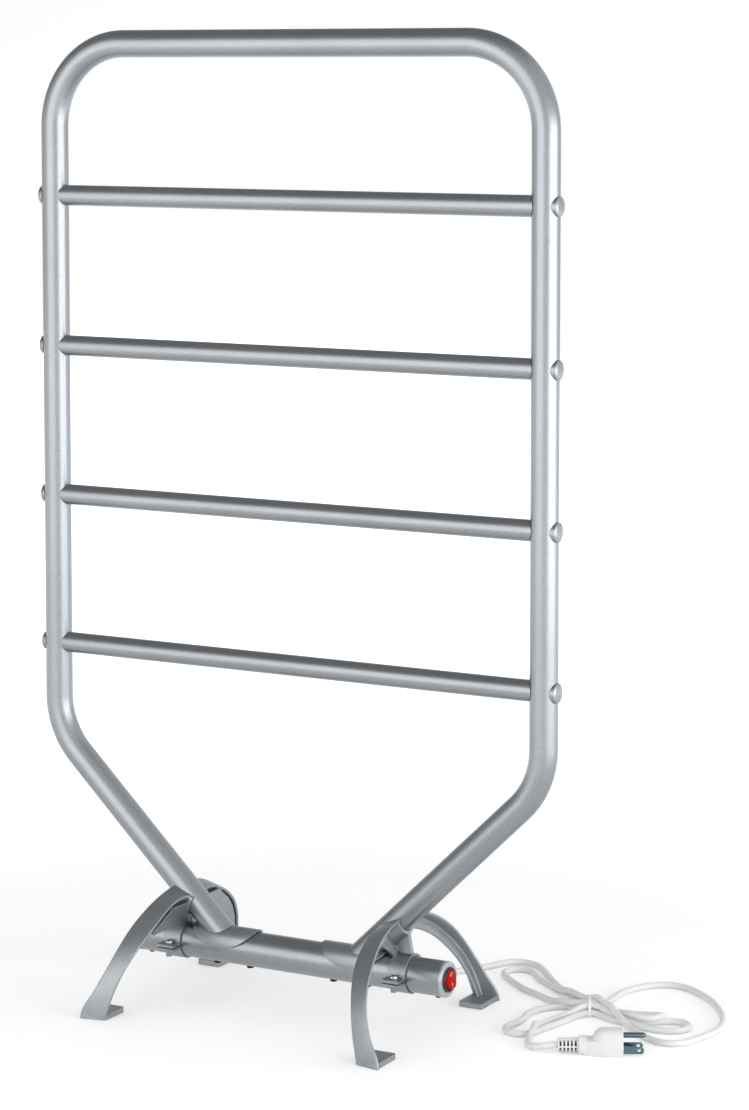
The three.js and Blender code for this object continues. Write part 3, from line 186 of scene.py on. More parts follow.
def join_rings(rings, place=Matrix(), closed_ends=True, around=False):
    """A mesh of faces between rings of points, capped at its two ends or joined round."""
    bm = bmesh.new()
    rows = [[bm.verts.new(place @ Vector(p)) for p in ring] for ring in rings]
    count = len(rows[0])
    for a, b in zip(rows, rows[1:] + rows[:1] if around else rows[1:]):
        for i in range(count):
            j = (i + 1) % count
            bm.faces.new((a[i], a[j], b[j], b[i]))
    if closed_ends and not around:
        bm.faces.new(rows[0])
        bm.faces.new(rows[-1])
    bmesh.ops.recalc_face_normals(bm, faces=bm.faces)
    mesh = bpy.data.meshes.new("shape")
    bm.to_mesh(mesh)
    bm.free()
    return mesh


def turned(start, end, steps, sides=40):
    """A solid turned about the line from start to end: steps of (way along it, radius)."""
    start, end = Vector(start), Vector(end)
    along = (end - start).normalized()
    side_axis = Vector((0, 1, 0)) if abs(along.y) < 0.9 else Vector((0, 0, 1))
    return join_rings([ring_points(start + along * way, along, radius, sides, side_axis)
                       for way, radius in steps])


def rod(start, end, radius, sides=40):
    return turned(start, end, ((0, radius), ((Vector(end) - Vector(start)).length, radius)),
                  sides)


def slab(outline, low, high, normal="y", place=Matrix()):
    """A flat outline, drawn square to an axis, and thickened along it from low to high."""
    order = {"x": lambda a, b, t: (t, a, b), "y": lambda a, b, t: (a, t, b),
             "z": lambda a, b, t: (a, b, t)}[normal]
    return join_rings([[order(a, b, t) for a, b in outline] for t in (low, high)], place)


def block(x, y, z, place=Matrix()):
    return slab([(x[0], y[0]), (x[1], y[0]), (x[1], y[1]), (x[0], y[1])], *z, "z", place)


# Points closer than this are one, which clears the slivers that cuts and bevels leave.
WELD = 0.005 * MM


def finish_mesh(name, mesh, material, bevel=0.0, sharp=math.radians(35), segments=2):
    """An object from a mesh: clean faces, rounded edges, and smooth but for sharp edges."""
    bm = bmesh.new()
    bm.from_mesh(mesh)
    bpy.data.meshes.remove(mesh)
    bmesh.ops.remove_doubles(bm, verts=bm.verts, dist=WELD)
    if bevel:
        bmesh.ops.dissolve_limit(bm, angle_limit=math.radians(1), verts=bm.verts,
                                 edges=bm.edges)
        bmesh.ops.bevel(bm, geom=[e for e in bm.edges
                                  if e.is_manifold and e.calc_face_angle(0) > sharp],
                        offset=bevel, offset_type="OFFSET", segments=segments, profile=0.5,
                        affect="EDGES", clamp_overlap=True)
        bmesh.ops.remove_doubles(bm, verts=bm.verts, dist=WELD)
    bmesh.ops.dissolve_degenerate(bm, dist=WELD, edges=bm.edges)
    bmesh.ops.holes_fill(bm, edges=[e for e in bm.edges if e.is_boundary])
    bmesh.ops.recalc_face_normals(bm, faces=bm.faces)
    for f in bm.faces:
        f.smooth = True
    for e in bm.edges:
        e.smooth = e.is_manifold and e.calc_face_angle(math.pi) < sharp
    final = bpy.data.meshes.new(name)
    bm.to_mesh(final)
    bm.free()
    final.materials.append(material)
    piece = bpy.data.objects.new(name, final)
    bpy.context.collection.objects.link(piece)
    return piece


def carved(base, *steps):
    """A mesh made from a base by joining, cutting or keeping only what other meshes hold."""
    parts = [bpy.data.objects.new("work", mesh) for mesh in (base, *(m for _, m in steps))]
    for part in parts:
        bpy.context.collection.objects.link(part)
    for part, (way, _) in zip(parts[1:], steps):
        step = parts[0].modifiers.new("step", "BOOLEAN")
        step.operation = {"join": "UNION", "cut": "DIFFERENCE", "keep": "INTERSECT"}[way]
        step.object = part
    bpy.context.view_layer.update()
    result = bpy.data.meshes.new_from_object(
        parts[0].evaluated_get(bpy.context.evaluated_depsgraph_get()))
    for part in parts:
        bpy.data.meshes.remove(part.data)
    return result


def keep(piece, slot, *nodes, body="rack"):
    """A finished piece: it rides on its body and stands for its CAD nodes, which it hides; its
    slot is not used.
    """
    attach(piece, body)
    if nodes:
        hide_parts(*nodes)
    return piece


def grip_half(way):
    """Half the grip's width, which grows from the collar."""
    return (6.6 + 5.4 * min(1, max(0, way) / GRIP_GROWTH) ** 0.8) * MM


def grip_ring(way):
    """The grip's cross-section: flat under, straight sides, and soft upper corners."""
    half = grip_half(way)
    drop = 1.2 * MM * max(0, 1 - way / (3 * MM))
    top = GRIP_HEIGHT - drop
    ring = [(way, -half + GRIP_FOOT_R, 0), (way, half - GRIP_FOOT_R, 0)]
    for v, z, r, first in ((half - GRIP_FOOT_R, GRIP_FOOT_R, GRIP_FOOT_R, -90),
                           (half - GRIP_TOP_R, top - GRIP_TOP_R, GRIP_TOP_R, 0),
                           (-half + GRIP_TOP_R, top - GRIP_TOP_R, GRIP_TOP_R, 90),
                           (-half + GRIP_FOOT_R, GRIP_FOOT_R, GRIP_FOOT_R, 180)):
        ring += [(way, v + r * math.cos(math.radians(a)), z + r * math.sin(math.radians(a)))
                 for a in (first + 15, first + 45, first + 75)]
    return ring


def hump_ring(way):
    """The hump's cross-section: it rises like a ball, and runs on level and square."""
    past = (HUMP_START + HUMP_ROUND - way) / HUMP_ROUND
    size = math.sqrt(max(0.0, 1 - max(0.0, past) ** 2))
    half = (grip_half(way) - 0.3 * MM) * (0.1 + 0.9 * size ** 0.6)
    rise = (HUMP_TOP - HUMP_SPRING_Z) * size ** 0.8 + 0.2 * MM
    return [(way, -half, HUMP_SUNK_Z), (way, half, HUMP_SUNK_Z)] + [
        (way, half * math.copysign(abs(math.cos(a)) ** 0.6, math.cos(a)),
         HUMP_SPRING_Z + rise * math.sin(a) ** 0.6)
        for a in (math.pi * i / 24 for i in range(25))]


plug_place = Matrix.Translation(PLUG_COLLAR_AT) @ Matrix.Rotation(PLUG_TURN, 4, "Z")
grip = join_rings([grip_ring(PLUG_LENGTH * i / 24) for i in range(25)], plug_place)
hump = join_rings([hump_ring(HUMP_START + (PLUG_LENGTH - HUMP_START) * (i / 24) ** 1.5)
                   for i in range(25)], plug_place)
relief_inner = (RELIEF_INSIDE, 0, RELIEF_AXIS_Z)
sleeve = turned(relief_inner, (-RELIEF_LENGTH, 0, RELIEF_AXIS_Z),
                ((0, 6.8 * MM), (RELIEF_LENGTH + 3.2 * MM, 6.25 * MM),
                 (RELIEF_LENGTH + RELIEF_INSIDE, 5.6 * MM)))
collar = turned(relief_inner, (-COLLAR_LENGTH, 0, RELIEF_AXIS_Z),
                ((0, COLLAR_R), (COLLAR_LENGTH + RELIEF_INSIDE, COLLAR_R)))
pin_start = PLUG_LENGTH - PIN_SEAT
earth_seat = rod((pin_start, 0, EARTH_Z), (PLUG_LENGTH + MM, 0, EARTH_Z), 2.7 * MM)
for mesh in (sleeve, collar, earth_seat):
    mesh.transform(plug_place)

# The relief bends at slots cut into both its sides, above and below a thin rib.
slot_pitch = (RELIEF_LENGTH - COLLAR_LENGTH) / (SLOT_COUNT + 0.6)
cuts = []
for number in range(SLOT_COUNT):
    way = -COLLAR_LENGTH - slot_pitch * (number + 0.8)
    for side in (-1, 1):
        for low, high in ((0.6, 6), (-6, -0.6)):
            cuts.append(block((way - SLOT_HALF_WIDTH, way + SLOT_HALF_WIDTH),
                              sorted((side * 3.2 * MM, side * 9 * MM)),
                              (RELIEF_AXIS_Z + low * MM, RELIEF_AXIS_Z + high * MM),
                              plug_place))
for side in (-1, 1):
    cuts.append(block((pin_start - 0.3 * MM, PLUG_LENGTH + MM),
                      (side * BLADE_OFFSET - 1.05 * MM, side * BLADE_OFFSET + 1.05 * MM),
                      (1.3 * MM, 8.3 * MM), plug_place))
# The last cut takes off what would be below the floor.
cuts += [earth_seat, block((-0.1, 0.1), (-0.1, 0.1), (-0.02, 0), plug_place)]
plug = keep(finish_mesh("mains_plug", carved(
    grip, ("join", hump), ("join", sleeve), ("join", collar),
    *(("cut", mesh) for mesh in cuts)), plug_pvc, bevel=0.5 * MM), "white_pvc", "plug_body")

blade_tip = PLUG_LENGTH + BLADE_REACH
blade_side = [(pin_start, -BLADE_HALF_HEIGHT), (blade_tip - 1.5 * MM, -BLADE_HALF_HEIGHT),
              (blade_tip, -1.7 * MM), (blade_tip, 1.7 * MM),
              (blade_tip - 1.5 * MM, BLADE_HALF_HEIGHT), (pin_start, BLADE_HALF_HEIGHT)]
for number, side in ((1, -1), (2, 1)):
    middle = plug_place @ Matrix.Translation((0, side * BLADE_OFFSET, BLADE_Z))
    eye = rod((blade_tip - 4 * MM, -MM, 0), (blade_tip - 4 * MM, MM, 0), 1.5 * MM, 24)
    eye.transform(middle)
    keep(finish_mesh(f"flat_blade_{number}", carved(
        slab(blade_side, -BLADE_HALF_THICKNESS, BLADE_HALF_THICKNESS, "y", middle),
        ("cut", eye)), nickel, bevel=0.15 * MM), "nickel_pin", f"plug_blade_{number}")
pin_length = PIN_SEAT + EARTH_REACH
earth = turned((pin_start, 0, EARTH_Z), (PLUG_LENGTH + EARTH_REACH, 0, EARTH_Z),
               ((0, EARTH_R), (pin_length - EARTH_R, EARTH_R),
                (pin_length - 1.4 * MM, 2.1 * MM), (pin_length - 0.5 * MM, 1.4 * MM),
                (pin_length, 0.4 * MM)))
earth.transform(plug_place)
keep(finish_mesh("earth_pin", earth, nickel), "nickel_pin", "plug_ground_pin")


# ------------------------------------------------------------------ cord tie
# A flat white PVC band, 2.6 mm wide and 1 mm thick, drawn tight round the cord's
# strands at the bow's waist and welded to itself.
TIE_PLACE = (Matrix.Translation((242.3 * MM, 121.3 * MM, 0))
             @ Matrix.Rotation(math.atan2(34, 72), 4, "Z"))
TIE_WIDTH, TIE_EDGE = 2.6 * MM, 0.25 * MM
TIE_BORE, TIE_SKIN = 3.05 * MM, 3.98 * MM
# The strands that the band bears on: across the bundle, and up from the floor.
STRANDS_MM = ((12.4, 4.05), (7.7, 11.05), (-0.5, 10.65), (-9.4, 10.65), (-12.6, 4.05))


def tie_ring(angle):
    """The band's section where its outside faces this way round the strands."""
    out = Vector((0, math.cos(angle), math.sin(angle)))
    strand = max((Vector((0, v * MM, z * MM)) for v, z in STRANDS_MM), key=out.dot)
    half = TIE_WIDTH / 2
    return [strand + out * reach + Vector((way, 0, 0)) for way, reach in (
        (-half, TIE_BORE), (half, TIE_BORE), (half, TIE_SKIN - TIE_EDGE),
        (half - TIE_EDGE, TIE_SKIN), (-half + TIE_EDGE, TIE_SKIN), (-half, TIE_SKIN - TIE_EDGE))]


# Vinyl, unprinted and new: whiter than the cord, half gloss, with a faint drawn grain,
# shown at 1.1 mm.
tie_vinyl, tree, place = begin_material("white_tie_vinyl", Roughness=0.35, IOR=1.5)
grain = add(tree, "ShaderNodeTexNoise", {"Vector": place, "Scale": 900, "Detail": 2})
add(tree, "ShaderNodeValToRGB", {"Fac": grain}, colours=("#f0f1f1", "#fafafa"), feeds="Base Color")

tie = keep(finish_mesh("bow_tie_band", join_rings(
    [tie_ring(math.radians(a)) for a in range(0, 360, 4)], TIE_PLACE, around=True),
    tie_vinyl), "tie_plastic", "cord_tie")


# ------------------------------------------------------------------ power cord
# A white three-core cord in a smooth PVC jacket. It leaves the grommet behind the
# base tube, comes down to the floor and lies in the loose bow that its tie holds.
CORD_OD = 6 * MM
CORD_EXIT = (20 * MM, 30.9 * MM, 50.5 * MM)
# The cord's middle line from inside the tube to the plug, in millimetres.
CORD_ROUTE_MM = """
20.0,17.0,50.5 20.0,30.9,50.5 20.1,43.4,49.2 21.5,54.2,44.4 23.7,63.2,36.7 26.3,71.2,28.2
29.3,78.6,18.3 32.9,87.1,9.8 37.6,97.1,4.9 42.9,107.6,3.5 48.6,118.1,3.2 54.4,128.6,3.1
60.4,138.9,3.1 66.6,149.2,3.1 72.9,159.4,3.1 79.5,169.4,3.1 86.5,179.0,3.1 93.7,188.5,3.1
99.5,198.8,3.1 103.8,209.7,3.1 109.1,220.0,3.1 118.1,227.0,3.1 129.3,228.4,3.1 139.9,224.0,3.1
148.8,216.4,3.1 156.6,207.5,3.1 164.1,198.3,3.1 171.8,189.1,3.1 179.6,180.1,3.1 187.9,171.3,3.1
196.9,163.3,3.0 206.0,155.2,3.0 214.5,146.4,3.0 222.9,137.2,3.0 233.3,131.1,3.9 242.8,135.7,3.7
246.8,146.1,3.1 246.9,158.1,3.1 246.4,170.1,3.1 246.5,182.0,3.1 248.6,193.7,3.1 252.9,204.7,3.1
259.0,214.7,3.1 267.2,223.0,3.1 277.8,227.5,3.1 289.3,226.8,3.1 299.9,222.0,3.1 309.8,215.5,3.1
319.1,208.1,3.1 327.9,200.0,3.1 335.8,191.1,3.1 343.1,181.6,3.1 349.7,171.7,3.1 355.6,161.3,3.1
360.6,150.4,3.1 364.5,139.1,3.1 367.0,127.5,3.1 367.6,115.7,3.1 366.0,104.0,3.1 363.1,92.6,3.1
359.6,81.6,3.1 355.1,71.2,3.1 346.1,64.7,3.1 334.9,64.4,3.1 324.1,68.6,3.1 314.1,74.7,3.2
304.5,81.8,3.3 295.2,89.2,4.1 285.9,96.3,7.0 276.9,104.0,9.6 267.9,111.6,12.8 258.3,118.8,11.9
248.4,125.3,13.9 237.8,128.5,10.8 227.7,134.9,9.5 217.6,142.9,8.9 207.1,149.8,8.1 196.9,156.5,5.9
187.4,163.9,4.2 178.3,171.8,3.4 168.9,179.2,3.2 159.7,186.8,3.1 151.7,195.5,3.1 143.9,204.1,3.1
133.5,206.5,3.1 124.7,201.6,3.1 121.5,191.8,3.1 125.6,181.5,3.1 133.9,173.3,3.1 142.6,165.2,3.1
151.7,157.5,3.1 161.2,150.4,3.1 171.6,144.5,3.1 182.2,139.0,3.1 192.5,132.9,3.3 202.7,126.9,4.0
212.9,121.4,6.8 223.7,117.4,8.1 235.2,118.5,9.0 246.4,121.9,10.0 257.4,124.6,4.8 269.3,125.8,3.5
281.0,127.5,3.2 292.1,131.5,3.0 303.3,133.0,3.6 312.2,127.7,5.8 314.3,118.4,8.8 309.1,109.8,8.1
298.8,106.6,8.4 287.4,109.6,8.5 276.7,114.2,5.5 265.0,115.6,3.0 253.2,117.7,3.5 241.7,120.7,4.0
230.0,121.5,3.2 218.8,118.9,3.0 209.6,111.8,3.1 203.5,102.0,3.1 199.9,90.9,3.1 199.3,79.3,3.1
201.8,67.9,3.1 202.3,56.3,3.1 200.2,44.8,3.1 200.8,33.5,3.1 207.4,25.8,3.4 216.4,24.7,3.4
224.3,30.2,3.0 228.1,40.9,3.0 230.7,52.6,3.1 233.5,64.3,3.1 236.0,76.3,3.1 238.2,88.7,3.1
241.0,101.2,3.3 248.4,110.3,4.0 260.1,109.3,3.2 271.5,103.9,3.0 283.8,101.5,3.0 295.7,98.5,3.1
307.5,96.0,3.1 319.4,95.4,3.1 330.9,97.6,3.1 339.9,104.3,3.1 342.5,114.4,3.1 337.5,123.2,3.1
327.4,126.0,3.1 317.2,121.6,3.0 307.8,114.6,3.1 297.4,109.1,3.0 285.9,107.2,3.0 274.4,108.7,5.1
263.0,112.1,7.7 251.1,114.3,9.9 240.9,109.0,8.9 234.3,99.3,5.1 229.6,88.3,3.6 226.6,76.6,3.3
225.0,64.9,3.5 224.6,53.1,4.9 226.0,42.1,8.6 229.4,31.4,7.5 229.9,21.6,3.5 233.2,13.4,3.2
236.2,6.1,3.2 240.2,0.3,3.3 246.2,-3.5,4.2 253.3,-4.5,5.6 260.1,-2.6,6.9 267.0,1.1,7.4
"""

route = [Vector(float(x) * MM for x in p.split(",")) for p in CORD_ROUTE_MM.split()]
line = bpy.data.curves.new("power_cord_line", "CURVE")
line.dimensions = "3D"
line.bevel_depth = CORD_OD / 2
line.bevel_resolution = 6
line.use_fill_caps = True
line.resolution_u = 4
spline = line.splines.new("BEZIER")
spline.bezier_points.add(len(route) - 1)
for point, at in zip(spline.bezier_points, route):
    point.co = at
    point.handle_left_type = point.handle_right_type = "AUTO"
line.materials.append(white_pvc)
cord = bpy.data.objects.new("cord_run", line)
bpy.context.collection.objects.link(cord)
keep(cord, "white_pvc", "power_cord", "cord_hank", "cord_tail")


# ------------------------------------------------------------------ floor and light
# A pale studio sweep under plain soft light: a low, wide softbox in front, a strong
# one on the right, and a white surround whose ceiling is unlit over the left.
FLOOR_HALF = 6.0
GLOW_NEAR, GLOW_FAR, GLOW_GROWS = 0.3, 1.0, (0.5, 2.5)
UNLIT_SIDE, UNLIT_EDGE, UNLIT_LEVEL = (-0.5, 0.1, 0.86), (0.35, 0.82), 0.3
ROOM_LIGHT = 0.64
LAMPS_AIM = (0, 0, 0.45)
SOFTBOXES = (("front_softbox", (-0.6, -2.3, 0.95), 2.6, 1.8, 19),
             ("side_softbox", (2.4, -0.15, 0.5), 2.9, 1.2, 36))


def seen_or_mirrored(tree):
    """1 for what the camera sees, straight, in gloss or through glass, and 0 for light."""
    rays = add(tree, "ShaderNodeLightPath").outputs
    either = add(tree, "ShaderNodeMath", {0: rays["Is Camera Ray"], 1: rays["Is Glossy Ray"]},
                 operation="MAXIMUM")
    return add(tree, "ShaderNodeMath", {0: either, 1: rays["Is Transmission Ray"]},
               operation="MAXIMUM")


# White paper: it keeps the rack's shadow, and glows a little to the eye, more so
# farther off, so that it meets the white surround without an edge.
floor_paper, tree, place = begin_material(
    "white_floor_paper", Base_Color=linear("#f2f2f2"), Roughness=0.9,
    Specular_IOR_Level=0.1, Emission_Color=(1, 1, 1, 1))
away = add(tree, "ShaderNodeVectorMath", {0: place}, operation="LENGTH")
lift = add(tree, "ShaderNodeMapRange", {
    "Value": away.outputs["Value"], "From Min": GLOW_GROWS[0], "From Max": GLOW_GROWS[1],
    "To Min": GLOW_NEAR, "To Max": GLOW_FAR})
add(tree, "ShaderNodeMath", {0: lift, 1: seen_or_mirrored(tree)}, operation="MULTIPLY",
    feeds="Emission Strength")
sheet = bpy.data.meshes.new("floor")
sheet.from_pydata([(x * FLOOR_HALF, y * FLOOR_HALF, 0)
                   for x, y in ((-1, -1), (1, -1), (1, 1), (-1, 1))], [], [(0, 1, 2, 3)])
sheet.materials.append(floor_paper)
floor = bpy.data.objects.new("floor", sheet)
bpy.context.collection.objects.link(floor)
floor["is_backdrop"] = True

world = bpy.data.worlds.new("white_surround")
bpy.context.scene.world = world
world.use_nodes = True
tree = world.node_tree
tree.nodes.clear()
look = add(tree, "ShaderNodeTexCoord").outputs["Generated"]
toward = add(tree, "ShaderNodeVectorMath", {0: look, 1: UNLIT_SIDE}, operation="DOT_PRODUCT")
dim = add(tree, "ShaderNodeMapRange", {
    "Value": toward.outputs["Value"], "From Min": UNLIT_EDGE[0], "From Max": UNLIT_EDGE[1],
    "To Min": 1.0, "To Max": UNLIT_LEVEL}, interpolation_type="SMOOTHSTEP")
strength = add(tree, "ShaderNodeMapRange",
               {"Value": seen_or_mirrored(tree), "To Min": ROOM_LIGHT, "To Max": dim})
surround = add(tree, "ShaderNodeBackground", {"Color": (1, 1, 1, 1), "Strength": strength})
add(tree, "ShaderNodeOutputWorld", {"Surface": surround})

for name, stand, width, height, power in SOFTBOXES:
    lamp = bpy.data.lights.new(name, "AREA")
    lamp.shape = "RECTANGLE"
    lamp.size, lamp.size_y = width, height
    lamp.energy = power
    holder = bpy.data.objects.new(name, lamp)
    holder.location = stand
    holder.rotation_euler = (Vector(LAMPS_AIM) - Vector(stand)).to_track_quat(
        "-Z", "Y").to_euler()
    holder.visible_camera = False
    bpy.context.collection.objects.link(holder)


# ------------------------------------------------------------------ tube frame
# One mild-steel tube bent into a tall arch whose legs sweep in to the base, its two
# ends coped to sit on the saddles, and powder coated in satin silver.
TUBE_R = 12.5 * MM
TUBE_BORE_R = 11 * MM
BEND_R = 76 * MM
LEG_ANGLE = math.radians(44)
LEG_FOOT_X = 62.5 * MM
UPRIGHT_X = 253.5 * MM
BASE_Z = 50.5 * MM
BASE_R = 15.9 * MM
SADDLE_R = BASE_R + 2.3 * MM
GAP = 0.3 * MM
KNEE_Z = BASE_Z + (UPRIGHT_X - LEG_FOOT_X) * math.tan(LEG_ANGLE)
TOP_Z = cad_high.z - TUBE_R

# Satin silver powder coat: metal flake under a smooth, half-gloss skin, with soft
# highlights. Its 0.1 mm flake is too fine to show and is drawn at 1.5 mm, and the
# coat's thickness drifts every 110 mm.
satin_silver, tree, place = begin_material("satin_silver_powder_coat", Metallic=0.95)
flake = add(tree, "ShaderNodeTexNoise",
            {"Vector": place, "Scale": 650, "Detail": 4, "Roughness": 0.7})
drift = add(tree, "ShaderNodeTexNoise", {"Vector": place, "Scale": 9, "Detail": 2})
mixed = add(tree, "ShaderNodeMix", {0: 0.25, 2: flake, 3: drift}, data_type="FLOAT")
add(tree, "ShaderNodeValToRGB", {"Fac": mixed}, colours=("#6f7478", "#b1b5b9"), feeds="Base Color")
add(tree, "ShaderNodeMapRange", {"Value": flake, "To Min": 0.28, "To Max": 0.4}, feeds="Roughness")
add(tree, "ShaderNodeBump", {"Height": flake, "Strength": 0.25, "Distance": 0.2 * MM},
    feeds="Normal")


def base_rod(radius, sides=72, start=-200 * MM, end=200 * MM):
    """A rod on the axis of the base tube."""
    return rod((start, 0, BASE_Z), (end, 0, BASE_Z), radius, sides)


def bent_path(corners, radius, step=math.radians(4)):
    """Points along straight runs joined by arcs of one radius, in a vertical plane."""
    points = [corners[0]]
    for before, corner, after in zip(corners, corners[1:], corners[2:]):
        into, out = (corner - before).normalized(), (after - corner).normalized()
        turn = into.angle(out)
        start = -into * radius * math.tan(turn / 2)
        centre = (out - into).normalized() * (radius / math.cos(turn / 2))
        count = max(2, round(turn / step))
        spin = into.cross(out).normalized()
        points += [corner + centre + Matrix.Rotation(turn * i / count, 3, spin)
                   @ (start - centre) for i in range(count + 1)]
    return points + [corners[-1]]


def frame_rings(radius, overshoot):
    """Rings along the frame, which run past its two ends by the overshoot."""
    corners = [Vector(p) for p in (
        (LEG_FOOT_X, 0, BASE_Z), (UPRIGHT_X, 0, KNEE_Z), (UPRIGHT_X, 0, TOP_Z),
        (-UPRIGHT_X, 0, TOP_Z), (-UPRIGHT_X, 0, KNEE_Z), (-LEG_FOOT_X, 0, BASE_Z))]
    for end, following in ((0, 1), (-1, -2)):
        corners[end] += (corners[end] - corners[following]).normalized() * overshoot
    path = bent_path(corners, BEND_R)
    return [ring_points(at, (path[min(i + 1, len(path) - 1)]
                             - path[max(i - 1, 0)]).normalized(), radius)
            for i, at in enumerate(path)]


keep(finish_mesh("bent_frame", carved(
    join_rings(frame_rings(TUBE_R, 0)), ("cut", join_rings(frame_rings(TUBE_BORE_R, 5 * MM))),
    ("cut", base_rod(SADDLE_R + GAP))), satin_silver), "satin_tube_paint", "frame_tube")


# ------------------------------------------------------------------ crossbars and caps
# Four straight steel tubes coped over the uprights, each drawn tight by a screw at
# each end, behind a pressed steel cap on the outside of the upright. Same satin coat.
BAR_R = 9.5 * MM
CAP_R, CAP_RISE, CAP_DEPTH = 9 * MM, 2.6 * MM, 3.8 * MM
CAP_SKIRT, CAP_DOME, CAP_EDGE, CAP_STEM_R = 4.3 * MM, 2.1 * MM, 0.5 * MM, 5.6 * MM
DOME_ANGLES = (12, 24, 38, 52, 66, 80, 90)

for number in range(1, 5):
    low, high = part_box(f"crossbar_{number}")
    bar_z = (low.z + high.z) / 2
    ends = [[Vector((p.x - side * math.sqrt((TUBE_R + GAP) ** 2 - p.y ** 2), p.y, p.z))
             for p in ring_points(Vector((side * UPRIGHT_X, 0, bar_z)), Vector((1, 0, 0)),
                                  BAR_R)] for side in (-1, 1)]
    keep(finish_mesh(f"rail_{number}", join_rings(ends), satin_silver), "satin_tube_paint",
         f"crossbar_{number}")
    for side, name in ((-1, "left"), (1, "right")):
        skin = side * (UPRIGHT_X + TUBE_R)
        dome = turned((skin - side * CAP_DEPTH, 0, bar_z), (skin + side * CAP_RISE, 0, bar_z),
                      [(0, CAP_R - 0.2 * MM), (0.2 * MM, CAP_R), (CAP_SKIRT, CAP_R)]
                      + [(CAP_SKIRT + CAP_DOME * math.sin(math.radians(a)),
                          CAP_EDGE + (CAP_R - CAP_EDGE) * math.cos(math.radians(a)))
                         for a in DOME_ANGLES], 48)
        cap = carved(
            dome, ("cut", rod((side * UPRIGHT_X, 0, bar_z - 0.02),
                              (side * UPRIGHT_X, 0, bar_z + 0.02), TUBE_R + GAP, 64)),
            ("join", rod((skin - side * 3.5 * MM, 0, bar_z), (skin + side * MM, 0, bar_z),
                         CAP_STEM_R, 24)))
        keep(finish_mesh(f"rail_cap_{number}_{name}", cap, satin_silver),
             "satin_tube_paint", f"bar_cap_{number}_{name}")


# ------------------------------------------------------------------ base tube
# A short, thick steel tube carries everything: sawn to length, drilled for the cord
# and the screws, and coated with the frame.
BASE_HALF = 158 * MM
BASE_BORE_R = 14.3 * MM
BASE_EASING = 0.3 * MM


def cord_bore(radius):
    """A rod out of the back of the tube where the cord leaves."""
    return rod((CORD_EXIT[0], 0, BASE_Z), (CORD_EXIT[0], 50 * MM, BASE_Z), radius, 32)


keep(finish_mesh("base_bar", carved(
    turned((-BASE_HALF, 0, BASE_Z), (BASE_HALF, 0, BASE_Z),
           ((0, BASE_R - BASE_EASING), (BASE_EASING, BASE_R),
            (2 * BASE_HALF - BASE_EASING, BASE_R), (2 * BASE_HALF, BASE_R - BASE_EASING)), 72),
    ("cut", base_rod(BASE_BORE_R, 48)), ("cut", cord_bore(5.05 * MM))),
    satin_silver), "satin_tube_paint", "base_tube")


# ------------------------------------------------------------------ saddles
# A cast zinc saddle stands between each leg and the base tube: a thin pad with an oval
# edge wraps the tube, its spigot fills the leg, and two screws pull it down.
SADDLE_X, SADDLE_LENGTH, SADDLE_WRAP = 68 * MM, 68 * MM, math.radians(86)
SPIGOT_R, SPIGOT_LENGTH = 10.3 * MM, 26 * MM

# Die-cast zinc under silver lacquer: a little duller than the tubes, with the slight
# ripple of a cast skin every 2 mm and 20 mm.
cast_silver, tree, place = begin_material("cast_zinc_silver_lacquer", Metallic=0.9)
grit = add(tree, "ShaderNodeTexNoise",
           {"Vector": place, "Scale": 500, "Detail": 5, "Roughness": 0.6})
swell = add(tree, "ShaderNodeTexNoise", {"Vector": place, "Scale": 45, "Detail": 2})
mixed = add(tree, "ShaderNodeMix", {0: 0.4, 2: grit, 3: swell}, data_type="FLOAT")
add(tree, "ShaderNodeValToRGB", {"Fac": mixed}, colours=("#74787c", "#b4b8bc"), feeds="Base Color")
add(tree, "ShaderNodeMapRange", {"Value": grit, "To Min": 0.36, "To Max": 0.5}, feeds="Roughness")
soft = add(tree, "ShaderNodeBevel", {"Radius": 0.8 * MM}, samples=6)
add(tree, "ShaderNodeBump",
    {"Height": mixed, "Strength": 0.25, "Distance": 0.4 * MM, "Normal": soft}, feeds="Normal")


def leg_point(along, side):
    """A point on a leg's axis, this far up from the axis of the base tube."""
    return Vector((side * (LEG_FOOT_X + along * math.cos(LEG_ANGLE)), 0,
                   BASE_Z + along * math.sin(LEG_ANGLE)))


for side, name in ((-1, "left"), (1, "right")):
    edge = [(side * (SADDLE_X + math.cos(t) * SADDLE_LENGTH / 2),
             BASE_Z + SADDLE_R * math.cos(SADDLE_WRAP * math.sin(t)))
            for t in (math.pi * i / 40 for i in range(41))]
    edge += [(side * (SADDLE_X + end * SADDLE_LENGTH / 2), BASE_Z + 25 * MM)
             for end in (-1, 1)]
    saddle = carved(
        base_rod(SADDLE_R, 72, side * (SADDLE_X - SADDLE_LENGTH),
                 side * (SADDLE_X + SADDLE_LENGTH)),
        ("keep", slab(edge, -0.05, 0.05)),
        ("join", rod(leg_point(12 * MM, side), leg_point(30 * MM + SPIGOT_LENGTH, side),
                     SPIGOT_R)),
        ("cut", base_rod(BASE_R + GAP)))
    keep(finish_mesh(f"leg_saddle_{name}", saddle, cast_silver, bevel=0.45 * MM), "cast_paint",
         f"saddle_{name}")


# ------------------------------------------------------------------ arch stands
# Each stand is one zinc casting: a splayed arch of T section with soft fillets, a foot
# plate at each end, and a ribbed cradle for the leg over the upper half of its clamp.
# It is sized in millimetres.
ARCH_HALF_SPAN, ARCH_RISE, ARCH_CENTRE_Z = 117.3, 114, -10
